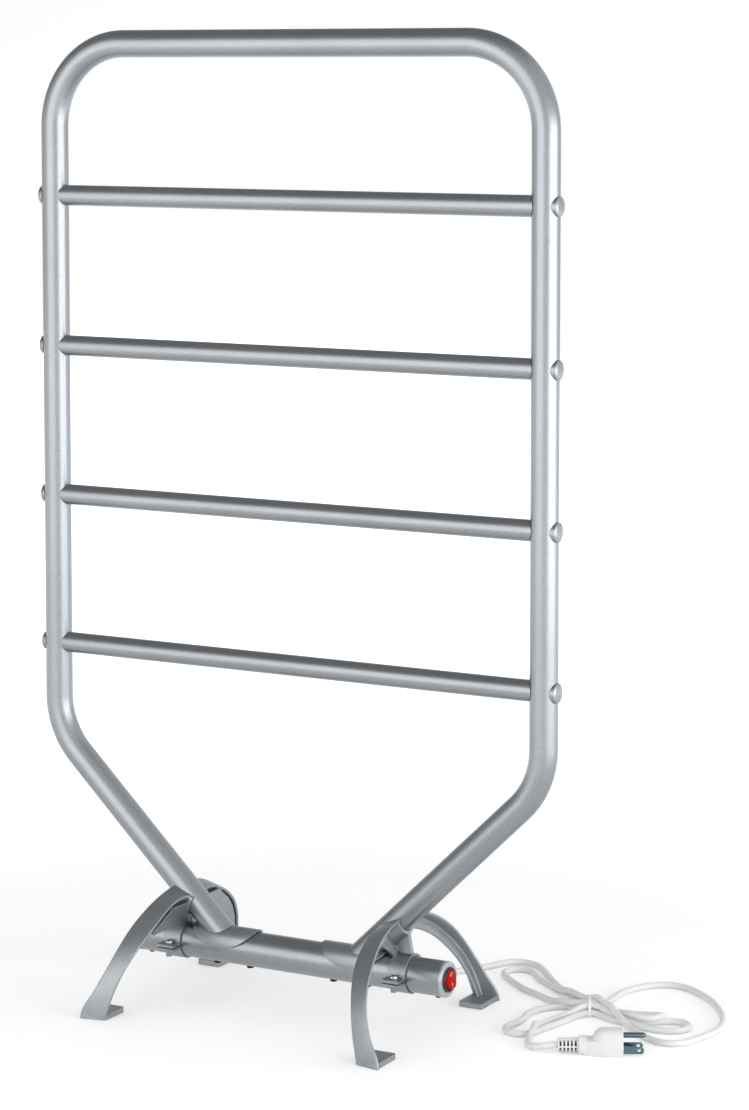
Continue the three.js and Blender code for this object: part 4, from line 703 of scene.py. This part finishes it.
# Along the arch, in degrees from the foot: inner and outer edge of the flange.
ARCH_EDGES_MM = ((0, 130, 154), (5, 127.3, 152.2), (7, 126.4, 150.5), (10, 124.9, 145.2),
                 (15, 122.3, 140.8), (25, 117, 133.4), (35, 111.4, 129), (45, 106.6, 126),
                 (55, 103.9, 122.9), (65, 103.2, 120.5), (75, 103.2, 119), (90, 98, 118))
FLANGE, WEB, FLANGE_EDGE_R = 2.8, 3.3, 1.3
DEPTH_FOOT, DEPTH_CROWN = 15.3, 18
# The flange's slope across: at the foot, what it gains by 60 degrees up, and at the crown.
SLOPE_FOOT, SLOPE_GAIN, SLOPE_CROWN = 0.19, 0.05, 0.21
# How far the web is in from the flange's inner edge, and how much less at the crown.
WEB_INSET, WEB_INSET_LOSS = 5.4, 3.8
FOOT_X, FOOT_Y = (129, 152.5), (81.2, 116)
FOOT_THICKNESS, FOOT_CORNER, FOOT_SKEW = 5, 2, 4
AXIS_Z = BASE_Z / MM
CLAMP_X, CLAMP_WIDTH, CLAMP_R, STRAP_R = 118, 17, 18.4, 17.5
LUG_REACH, LUG_THICKNESS, SPLIT_Z, SPLIT_HALF_GAP = 30.5, 2.6, 48, 0.5
LUG_SCREW_Y, LUG_HOLE_R, LUG_HOLE_Z = 22.4, 2.05, (41.1, 81)
BOSS_R, BOSS_HEIGHT = 3, 6
CRADLE_R, CRADLE_OUTER_X = 15.3, 122.4


def clamped(value, low=0.0, high=1.0):
    return min(high, max(low, value))


def edge_at(psi, column):
    """The flange's inner (1) or outer (2) edge at this angle, smoothed over six degrees."""
    total = 0
    for shift in (-3, -1.5, 0, 1.5, 3):
        at = clamped(psi + shift, 0, 90)
        for a, b in zip(ARCH_EDGES_MM, ARCH_EDGES_MM[1:]):
            if a[0] <= at <= b[0]:
                total += a[column] + (b[column] - a[column]) * (at - a[0]) / (b[0] - a[0])
                break
    return total / 5


def eased(value, start, end):
    """0 before the start, 1 past the end, and smooth between."""
    t = clamped((value - start) / (end - start))
    return t * t * (3 - 2 * t)


def rounded(corners):
    """A flat outline with each of its corners, given with a radius, rounded off."""
    outline = []
    for i, (x, y, radius) in enumerate(corners):
        at = Vector((x, y))
        before, after = Vector(corners[i - 1][:2]), Vector(corners[(i + 1) % len(corners)][:2])
        start = at + (before - at).normalized() * radius
        end = at + (after - at).normalized() * radius
        outline += [start.lerp(at, t).lerp(at.lerp(end, t), t)
                    for t in (0, 0.25, 0.5, 0.75, 1)]
    return outline


def arch_ring(way):
    """The T section at one place, from -1 at the front foot over the crown to 1 at the
    rear: a twisted flange with round edges, and a filleted web square to it."""
    psi = 90 * (1 - abs(way))
    inner, outer = edge_at(psi, 1), edge_at(psi, 2)
    twist = math.atan(SLOPE_FOOT + SLOPE_GAIN * clamped(psi / 60)
                      + SLOPE_CROWN * eased(psi, 62, 88))
    width = (outer - inner) / math.cos(twist)
    near = WEB_INSET - WEB_INSET_LOSS * eased(psi, 45, 78)
    far = near + WEB
    depth = DEPTH_FOOT + (DEPTH_CROWN - DEPTH_FOOT) * math.sin(math.radians(psi)) ** 4
    depth = (depth - (width - near) * math.sin(twist)) / math.cos(twist)
    ring = []
    for across, deep in rounded((
            (0, 0, FLANGE_EDGE_R), (width, 0, FLANGE_EDGE_R), (width, FLANGE, FLANGE_EDGE_R),
            (far, FLANGE, 2.2), (far, depth, 1.2), (near, depth, 1.2), (near, FLANGE, 1.6),
            (0, FLANGE, FLANGE_EDGE_R))):
        inset = (width - across) * math.sin(twist) + deep * math.cos(twist)
        floor_angle = math.degrees(math.asin(-ARCH_CENTRE_Z / (ARCH_HALF_SPAN - inset)))
        turn = math.radians(90 + (floor_angle - 90) * abs(way))
        reach = 1 / math.hypot(math.cos(turn) / (ARCH_HALF_SPAN - inset),
                               math.sin(turn) / (ARCH_RISE - inset))
        ring.append((outer - (width - across) * math.cos(twist) + deep * math.sin(twist),
                     math.copysign(reach * math.cos(turn), way),
                     ARCH_CENTRE_Z + reach * math.sin(turn)))
    return ring


def web_inner_x(z):
    """The inner face of the web below the crown leans with the leg."""
    return CLAMP_X - CLAMP_WIDTH / 2 - 1 - (z - AXIS_Z - CLAMP_R) * 0.36


def arc(radius, first, last, count=36):
    """An outline arc about the base tube's axis, in its own (y, z)."""
    return [(radius * math.cos(a), AXIS_Z + radius * math.sin(a))
            for a in (first + (last - first) * i / count for i in range(count + 1))]


def lug_holes(side):
    """The holes of a clamp's two screws, up through the strap and into the stand."""
    return [("cut", rod(*((side * CLAMP_X * MM, end * LUG_SCREW_Y * MM, z * MM)
                          for z in LUG_HOLE_Z), LUG_HOLE_R * MM, 24)) for end in (-1, 1)]


crown_z = ARCH_CENTRE_Z + ARCH_RISE - DEPTH_CROWN
clamp_top = AXIS_Z + CLAMP_R
clamp_x = (CLAMP_X - CLAMP_WIDTH / 2, CLAMP_X + CLAMP_WIDTH / 2)
upper_lug, lower_lug = SPLIT_Z + SPLIT_HALF_GAP, SPLIT_Z - SPLIT_HALF_GAP
under_leg = (AXIS_Z + (CRADLE_OUTER_X - LEG_FOOT_X / MM) * math.tan(LEG_ANGLE)
             - CRADLE_R / math.cos(LEG_ANGLE))
# Outlines of the web below the crown: out from the leg toward a foot, and up.
web_root = ((5.5, 67.4), (1.6, clamp_top - 3), (1.6, clamp_top + 6), (1.6, crown_z + 4),
            (40, crown_z + 4))
spandrel = ((40, crown_z - 4), (33, crown_z - 5), (28, crown_z - 5.2), (24.5, crown_z - 6.6),
            (21.5, crown_z - 8.5), (17.5, crown_z - 11.3), (13.5, crown_z - 14.5),
            (10, crown_z - 17.6), (7.5, crown_z - 20), *web_root)
# On the left casting the web is filled further down, most of all behind the leg.
half_deep_spandrel = ((62, 69), (50, 70), (40, 70.5), (30, 69.5), (22, 68), (14, 66.8),
                      (7.5, 66.2), *web_root, (52, 83), (64, 74))
deep_spandrel = ((97, 30), (84, 27), (74, 33), (62, 43), (50, 52.5), (36, 60.5), (22, 65),
                 (7.5, 66.4), *web_root, (45.8, 85.2), (62.1, 76), (76.6, 64.2),
                 (88.7, 50.2), (98.2, 34.4))

for side, name in ((-1, "left"), (1, "right")):
    # The right stand is drawn in millimetres, and mirrored for the left.
    made = Matrix.Diagonal((side * MM, MM, MM, 1))
    arch = join_rings([arch_ring(-1 + i / 48 + 1e-6) for i in range(97)], made)
    fillings = (half_deep_spandrel, deep_spandrel) if side < 0 else (spandrel, spandrel)
    webs = [join_rings([[(web_inner_x(z) + x, end * y, z) for y, z in outline]
                        for x in (0, WEB)], made)
            for end, outline in zip((-1, 1), fillings)]
    cradle = carved(
        rod(leg_point(20 * MM, side), leg_point(100 * MM, side), CRADLE_R * MM, 72),
        ("keep", slab([(97.5, 94), (web_inner_x(clamp_top), clamp_top),
                       (CRADLE_OUTER_X, under_leg - 4), (CRADLE_OUTER_X, 85.5),
                       (118, 101.5)], -25, 25, "y", made)))
    rib = slab([(web_inner_x(clamp_top) + 5.4, clamp_top - 1.2),
                (clamp_x[1] - 1, clamp_top - 1.2), (124, clamp_top + 6), (121.8, 88),
                (web_inner_x(80) + 2, 82), (web_inner_x(80) + 2, 77)], -2, 2, "y", made)
    dip = math.asin((upper_lug - AXIS_Z) / CLAMP_R)
    ring = slab(arc(CLAMP_R, dip, math.pi - dip), *clamp_x, "x", made)
    lugs = block(clamp_x, (-LUG_REACH, LUG_REACH), (upper_lug, upper_lug + LUG_THICKNESS), made)
    feet = [slab(rounded([(x, end * y, FOOT_CORNER) for x, y in (
        (FOOT_X[0], FOOT_Y[1] - FOOT_SKEW), (FOOT_X[1], FOOT_Y[1]), (FOOT_X[1], FOOT_Y[0]),
        (FOOT_X[0], FOOT_Y[0]))]), 0, FOOT_THICKNESS, "z", made) for end in (-1, 1)]
    stand = carved(arch, *(("join", m) for m in (*webs, cradle, rib, ring, lugs, *feet)),
                   ("cut", rod(leg_point(0, side), leg_point(140 * MM, side), TUBE_R + GAP, 72)),
                   ("cut", base_rod(BASE_R + GAP)), *lug_holes(side))
    keep(finish_mesh(f"arch_stand_{name}", stand, cast_silver, bevel=0.5 * MM), "cast_paint",
         f"stand_{name}")

    # The clamp's lower half: a thin strap with two lugs and a blind boss for each screw.
    rise = math.pi - math.asin((lower_lug - AXIS_Z) / STRAP_R)
    strap = slab(arc(STRAP_R, rise, 3 * math.pi - rise), *clamp_x, "x", made)
    bosses = []
    for end in (-1, 1):
        boss = rod((CLAMP_X, end * LUG_SCREW_Y, lower_lug - LUG_THICKNESS - BOSS_HEIGHT),
                   (CLAMP_X, end * LUG_SCREW_Y, lower_lug - 0.5), BOSS_R, 32)
        boss.transform(made)
        bosses.append(("join", boss))
    strap = carved(strap, ("join", block(clamp_x, (-LUG_REACH, LUG_REACH),
                                         (lower_lug - LUG_THICKNESS, lower_lug), made)),
                   *bosses, ("cut", base_rod(BASE_R + GAP)), *lug_holes(side))
    keep(finish_mesh(f"clamp_strap_{name}", strap, cast_silver, bevel=0.35 * MM), "cast_paint",
         f"lower_clamp_{name}")


# ------------------------------------------------------------------ screws
# Cold-headed steel screws with a low dome and a cross recess: bright zinc on the
# clamps and inside the uprights, black oxide under the base tube.

# Zinc plate: a bright, slightly blue film, cloudy every few millimetres.
zinc_plate, tree, place = begin_material("zinc_plated_steel", Metallic=1.0, Roughness=0.24)
film = add(tree, "ShaderNodeTexNoise", {"Vector": place, "Scale": 400, "Detail": 3})
add(tree, "ShaderNodeValToRGB", {"Fac": film}, colours=("#b4b8ba", "#dadddf"), feeds="Base Color")

# Black oxide: a thin, oily black that lets the steel shine through on edges.
black_oxide, tree, place = begin_material("black_oxide_steel", Metallic=0.7, Roughness=0.45)
film = add(tree, "ShaderNodeTexNoise", {"Vector": place, "Scale": 500, "Detail": 3})
add(tree, "ShaderNodeValToRGB", {"Fac": film}, colours=("#1d1e20", "#34363a"), feeds="Base Color")

# The recess: how far its arms reach, in head radii, and its depths, in rises of the dome.
CROSS_REACH, CROSS_HALF_WIDTH, CROSS_DEPTHS = 0.52, 0.45 * MM, (0.45, 1.2)
HEAD_ANGLES = (20, 40, 58, 74, 90)


def domed_screw(name, node, axis, shank, length, head, rise, material, slot):
    """A screw, sized in millimetres, whose head faces this way where its CAD node is."""
    low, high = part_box(node)
    middle = (low + high) / 2
    seat = middle + axis * ((high - low).dot(Vector(map(abs, axis))) / 2 - rise * MM)
    shank_r, head_r, rise = shank / 2 * MM, head / 2 * MM, rise * MM
    body = turned(seat - axis * length * MM, seat + axis * rise,
                  [(way + length * MM, radius) for way, radius in
                   ((-length * MM, shank_r * 0.6), (-(length - 1) * MM, shank_r),
                    (0, shank_r), (1e-6, head_r - 0.1 * MM), (0.1 * MM, head_r),
                    (rise * 0.3, head_r))]
                  + [(length * MM + rise * (0.3 + 0.7 * math.sin(math.radians(a))),
                      0.2 * MM + (head_r - 0.2 * MM) * math.cos(math.radians(a)))
                     for a in HEAD_ANGLES], 32)
    across = Vector((1, 0, 0)) if abs(axis.x) < 0.5 else Vector((0, 1, 0))
    cross = [("cut", join_rings(
        [[seat + axis * rise * t + arm * (a * head_r * CROSS_REACH)
          + arm.cross(axis) * (b * CROSS_HALF_WIDTH)
          for a, b in ((-1, -1), (1, -1), (1, 1), (-1, 1))] for t in CROSS_DEPTHS]))
        for arm in (across, across.cross(axis))]
    return keep(finish_mesh(name, carved(body, *cross), material), slot, node)


for side in ("left", "right"):
    for end in ("front", "rear"):
        domed_screw(f"pan_screw_{side}_{end}", f"clamp_screw_{side}_{end}", Vector((0, 0, 1)),
                    3.5, 10, 7.4, 3, zinc_plate, "zinc_screw")
    for part, sizes in (("saddle_screw", (4, 43, 7, 1.8)), ("toe_screw", (3.5, 33, 7, 1.8)),
                        ("end_cap_screw", (2.4, 4.6, 5, 1.6))):
        domed_screw(f"black_{part}_{side}", f"{part}_{side}", Vector((0, 0, -1)), *sizes,
                    black_oxide, "dark_screw")
    for number in range(1, 5):
        domed_screw(f"rail_screw_{number}_{side}", f"bar_screw_{number}_{side}",
                    Vector((1 if side == "right" else -1, 0, 0)), 4, 14, 8.5, 2.8,
                    zinc_plate, "zinc_screw")


# ------------------------------------------------------------------ end caps
# Injection-moulded ABS caps, lacquered silver, pushed into the base tube and held by
# a small screw below. The left one is blank and the right one carries the switch.
CAP_FACE_X = BASE_HALF + 3.3 * MM
CAP_RIM_R, CAP_SOCKET_R, CAP_WALL = 16.2 * MM, 13.5 * MM, 2 * MM
SWITCH_HOLE_R = 10.6 * MM
# The cap's outside, in millimetres from its inner end: way along, and down from the rim.
CAP_PROFILE_MM = ((16.001, 0.2), (16.2, 0), (17.9, 0), (18.4, 0.15), (18.75, 0.45),
                  (18.95, 0.9), (19, 1.4))

# Silver lacquer on ABS: paler and softer than the metal, with a fine metallic grain
# drawn at 2.4 mm.
silver_cap, tree, place = begin_material("silver_lacquered_abs", Metallic=0.55, Roughness=0.36)
skin = add(tree, "ShaderNodeTexNoise", {"Vector": place, "Scale": 420, "Detail": 3})
add(tree, "ShaderNodeValToRGB", {"Fac": skin}, colours=("#a9aeb1", "#bfc4c6"), feeds="Base Color")

for side, name, node in ((-1, "blank_cap", "end_cap_left"),
                         (1, "switch_cap", "end_cap_switch")):
    shell = turned((side * (CAP_FACE_X - 19 * MM), 0, BASE_Z), (side * CAP_FACE_X, 0, BASE_Z),
                   [(0, CAP_SOCKET_R), (16 * MM, CAP_SOCKET_R)]
                   + [(way * MM, CAP_RIM_R - drop * MM) for way, drop in CAP_PROFILE_MM], 64)
    if side > 0:
        bore = base_rod(SWITCH_HOLE_R, 56, CAP_FACE_X - 25 * MM, CAP_FACE_X + 5 * MM)
    else:
        bore = base_rod(CAP_SOCKET_R - CAP_WALL, 48, -CAP_FACE_X + 24 * MM,
                        -CAP_FACE_X + 3 * MM)
    keep(finish_mesh(name, carved(shell, ("cut", bore)), silver_cap), "cap_plastic", node)


# ------------------------------------------------------------------ switch
# A round rocker switch: a black moulded housing and bezel, and a clear red rocker
# over a lamp, with its pale on and off marks set into its two faces.
BEZEL_FACE_X = CAP_FACE_X + 2.1 * MM
BEZEL_R, BEZEL_RISE = 11.3 * MM, 1.8 * MM
HOUSING_R, HOUSING_DEPTH = 10.3 * MM, 20 * MM
WELL_R, WELL_DEPTH = 9.6 * MM, 8.5 * MM
PIVOT_DEPTH, TRUNNION_R = 3.2 * MM, 1.2 * MM
ROCKER_R, ROCKER_TILT = 9.0 * MM, math.radians(-8)
FACE_X, FACE_HOLLOW, FACE_CURVE = 3.6 * MM, 1.1 * MM, 1.6
MARK_PROUD, MARK_DEPTH = 0.12 * MM, 0.3 * MM
OFF_MARK_Z, OFF_MARK_R, OFF_MARK_OVAL = 4.6 * MM, (1.15 * MM, 1.75 * MM), 1.15
ON_MARK_HALF_WIDTH = 0.3 * MM

# Black ABS: half matt, with a fine spark-eroded grain drawn at 1 mm.
black_abs, tree, place = begin_material("moulded_black_abs", Roughness=0.36)
spark = add(tree, "ShaderNodeTexNoise", {"Vector": place, "Scale": 900, "Detail": 4})
add(tree, "ShaderNodeValToRGB", {"Fac": spark}, colours=("#101113", "#1e2022"), feeds="Base Color")
add(tree, "ShaderNodeBump", {"Height": spark, "Strength": 0.1, "Distance": 0.1 * MM},
    feeds="Normal")

# Clear red acrylic, polished: deep red, a little cloudy every 6 mm.
red_acrylic, tree, place = begin_material(
    "translucent_red_acrylic", Roughness=0.3, IOR=1.49, Subsurface_Weight=0.15,
    Subsurface_Radius=(2 * MM, 0.2 * MM, 0.2 * MM), Specular_IOR_Level=0.04)
cloud = add(tree, "ShaderNodeTexNoise", {"Vector": place, "Scale": 160, "Detail": 2})
add(tree, "ShaderNodeValToRGB", {"Fac": cloud}, colours=("#8e0508", "#c41015"), feeds="Base Color")

# The marks are a second shot of pale ABS, worn a little yellow every 1.4 mm.
mark_abs, tree, place = begin_material("pale_marking_abs", Roughness=0.4)
worn = add(tree, "ShaderNodeTexNoise", {"Vector": place, "Scale": 700, "Detail": 2})
add(tree, "ShaderNodeValToRGB", {"Fac": worn}, colours=("#d9b58c", "#efd8b4"), feeds="Base Color")

switch_axis = ((BEZEL_FACE_X - BEZEL_RISE - HOUSING_DEPTH, 0, BASE_Z),
               (BEZEL_FACE_X, 0, BASE_Z))
housing = turned(*switch_axis, (
    (0, HOUSING_R), (HOUSING_DEPTH, HOUSING_R), (HOUSING_DEPTH + 1e-6, BEZEL_R),
    (HOUSING_DEPTH + BEZEL_RISE * 0.5, BEZEL_R),
    (HOUSING_DEPTH + BEZEL_RISE * 0.8, BEZEL_R - 0.3 * MM),
    (HOUSING_DEPTH + BEZEL_RISE, BEZEL_R - 0.8 * MM)), 64)
pivot_x = BEZEL_FACE_X - PIVOT_DEPTH
keep(finish_mesh("switch_bezel", carved(
    housing, ("cut", base_rod(WELL_R, 56, BEZEL_FACE_X - WELL_DEPTH, BEZEL_FACE_X + MM)),
    ("cut", rod((pivot_x, -9.95 * MM, BASE_Z), (pivot_x, 9.95 * MM, BASE_Z),
                TRUNNION_R + GAP, 24))),
    black_abs, bevel=0.12 * MM, segments=1), "black_plastic", "switch_housing")

rocker_place = (Matrix.Translation((pivot_x, 0, BASE_Z))
                @ Matrix.Rotation(ROCKER_TILT, 4, "Y"))
reach = ROCKER_R * 0.98
face_reach = reach - 1.6 * MM
face = [(FACE_X + FACE_HOLLOW * abs(t) ** FACE_CURVE, t * face_reach)
        for t in (i / 8 - 1 for i in range(17))]
flank = ((-3.8 * MM, ROCKER_R * 0.82), (-2.0 * MM, ROCKER_R * 0.96), (1.5 * MM, reach),
         (3.6 * MM, reach - 0.3 * MM), (4.4 * MM, reach - 0.8 * MM))
rocker_side = [(x, -z) for x, z in flank] + face + list(reversed(flank))
rocker = carved(
    rod((-WELL_DEPTH, 0, 0), (WELL_DEPTH, 0, 0), ROCKER_R, 64),
    ("keep", slab(rocker_side, -0.02, 0.02)),
    ("join", rod((0, -9.8 * MM, 0), (0, 9.8 * MM, 0), TRUNNION_R, 20)))
rocker.transform(rocker_place)
keep(finish_mesh("red_rocker", rocker, red_acrylic, bevel=0.3 * MM, sharp=math.radians(38)),
     "red_plastic", "rocker", body="rocker")


def on_face(across, up):
    """A place just proud of the rocker's curved face, in its own metres."""
    return Vector((FACE_X + MARK_PROUD + FACE_HOLLOW * (abs(up) / face_reach) ** FACE_CURVE,
                   across, up))


def mark_section(low, high):
    """A mark's section: a box from under the rocker's face to just proud of it."""
    return ((low, -MARK_DEPTH), (low, 0), (high, 0), (high, -MARK_DEPTH))


off_ring = join_rings([[on_face(math.cos(a) * r, OFF_MARK_Z + math.sin(a) * r * OFF_MARK_OVAL)
                        + Vector((lift, 0, 0)) for r, lift in mark_section(*OFF_MARK_R)]
                       for a in (2 * math.pi * i / 32 for i in range(32))],
                      rocker_place, around=True)
on_bar = join_rings([[on_face(x, up * MM) + Vector((lift, 0, 0))
                      for x, lift in mark_section(-ON_MARK_HALF_WIDTH, ON_MARK_HALF_WIDTH)]
                     for up in (-6.2, -5.4, -4.6, -3.8, -3.0)], rocker_place)
for name, mark in (("off_mark", off_ring), ("on_mark", on_bar)):
    keep(finish_mesh(name, mark, mark_abs), "red_plastic", body="rocker")


# ------------------------------------------------------------------ cord grommet
# A black moulded bush snapped into the base tube: a flange that follows the tube,
# and a ribbed, tapered nose that keeps the cord from kinking.
NOSE_R, RIB_COUNT, FIRST_RIB_MM, RIB_PITCH_MM, RIB_TAPER_MM = 4.75 * MM, 4, 8.6, 2.8, 0.16

nose = [(0, NOSE_R), (7.3 * MM, NOSE_R), (7.4 * MM, NOSE_R)]
for number in range(RIB_COUNT):
    way, taper = (FIRST_RIB_MM + RIB_PITCH_MM * number) * MM, NOSE_R - RIB_TAPER_MM * number * MM
    nose += [(way, taper), (way + 0.2 * MM, taper - 0.45 * MM),
             (way + 1.0 * MM, taper - 0.45 * MM), (way + 1.2 * MM, taper - 0.1 * MM)]
nose += [(19.8 * MM, 4.1 * MM), (20.3 * MM, 3.9 * MM), (20.4 * MM, 3.6 * MM)]
bush = [(CORD_EXIT[0], 10.5 * MM, BASE_Z), CORD_EXIT]
keep(finish_mesh("grommet", carved(
    rod((CORD_EXIT[0], 13.5 * MM, BASE_Z), (CORD_EXIT[0], 18.2 * MM, BASE_Z), 7.5 * MM, 48),
    ("cut", base_rod(BASE_R + GAP)),
    ("join", turned(*bush, nose, 40)),
    ("join", turned(*bush, ((0, NOSE_R), (0.8 * MM, 5.8 * MM), (1.5 * MM, 5.8 * MM)), 40)),
    ("cut", cord_bore(3.1 * MM))),
    black_abs, bevel=0.15 * MM, segments=1), "black_plastic", "cord_grommet")


# ------------------------------------------------------------------ parts inside the tubes
# Heating cable in silicone, PVC leads, the thermal fuse in its sleeve and the
# switch's brass tabs. They only show when the rack is taken apart.

# Silicone rubber: matt brick red, dusted with talc in 3 mm patches.
silicone, tree, place = begin_material("red_silicone_rubber", Roughness=0.6)
dust = add(tree, "ShaderNodeTexNoise", {"Vector": place, "Scale": 300, "Detail": 2})
add(tree, "ShaderNodeValToRGB", {"Fac": dust}, colours=("#a63a28", "#bd4a34"), feeds="Base Color")

# Rolled brass strip: warm and bright, with a faint roll grain drawn at 1.4 mm.
tab_brass, tree, place = begin_material("rolled_brass", Metallic=1.0, Roughness=0.32)
roll = add(tree, "ShaderNodeTexNoise", {"Vector": place, "Scale": 700, "Detail": 2})
add(tree, "ShaderNodeValToRGB", {"Fac": roll}, colours=("#b08d45", "#cdae68"), feeds="Base Color")

# Woven glass sleeve: off-white cords, 2 mm apart.
glass_sleeve, tree, place = begin_material("woven_glass_sleeve", Roughness=0.8)
weave = add(tree, "ShaderNodeTexWave", {"Vector": place, "Scale": 160, "Distortion": 1})
add(tree, "ShaderNodeValToRGB", {"Fac": weave.outputs["Fac"]}, colours=("#d8d2c4", "#f0ece2"),
    feeds="Base Color")

for node, material in (("heating_cable", silicone), ("thermal_fuse", glass_sleeve),
                       ("lead_live", black_abs), ("lead_switched", black_abs),
                       ("lead_neutral", white_pvc), ("lead_fused", white_pvc),
                       ("switch_terminal_1", tab_brass), ("switch_terminal_2", tab_brass),
                       ("switch_terminal_3", tab_brass)):
    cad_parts[node].data.materials.clear()
    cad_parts[node].data.materials.append(material)


low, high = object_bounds()
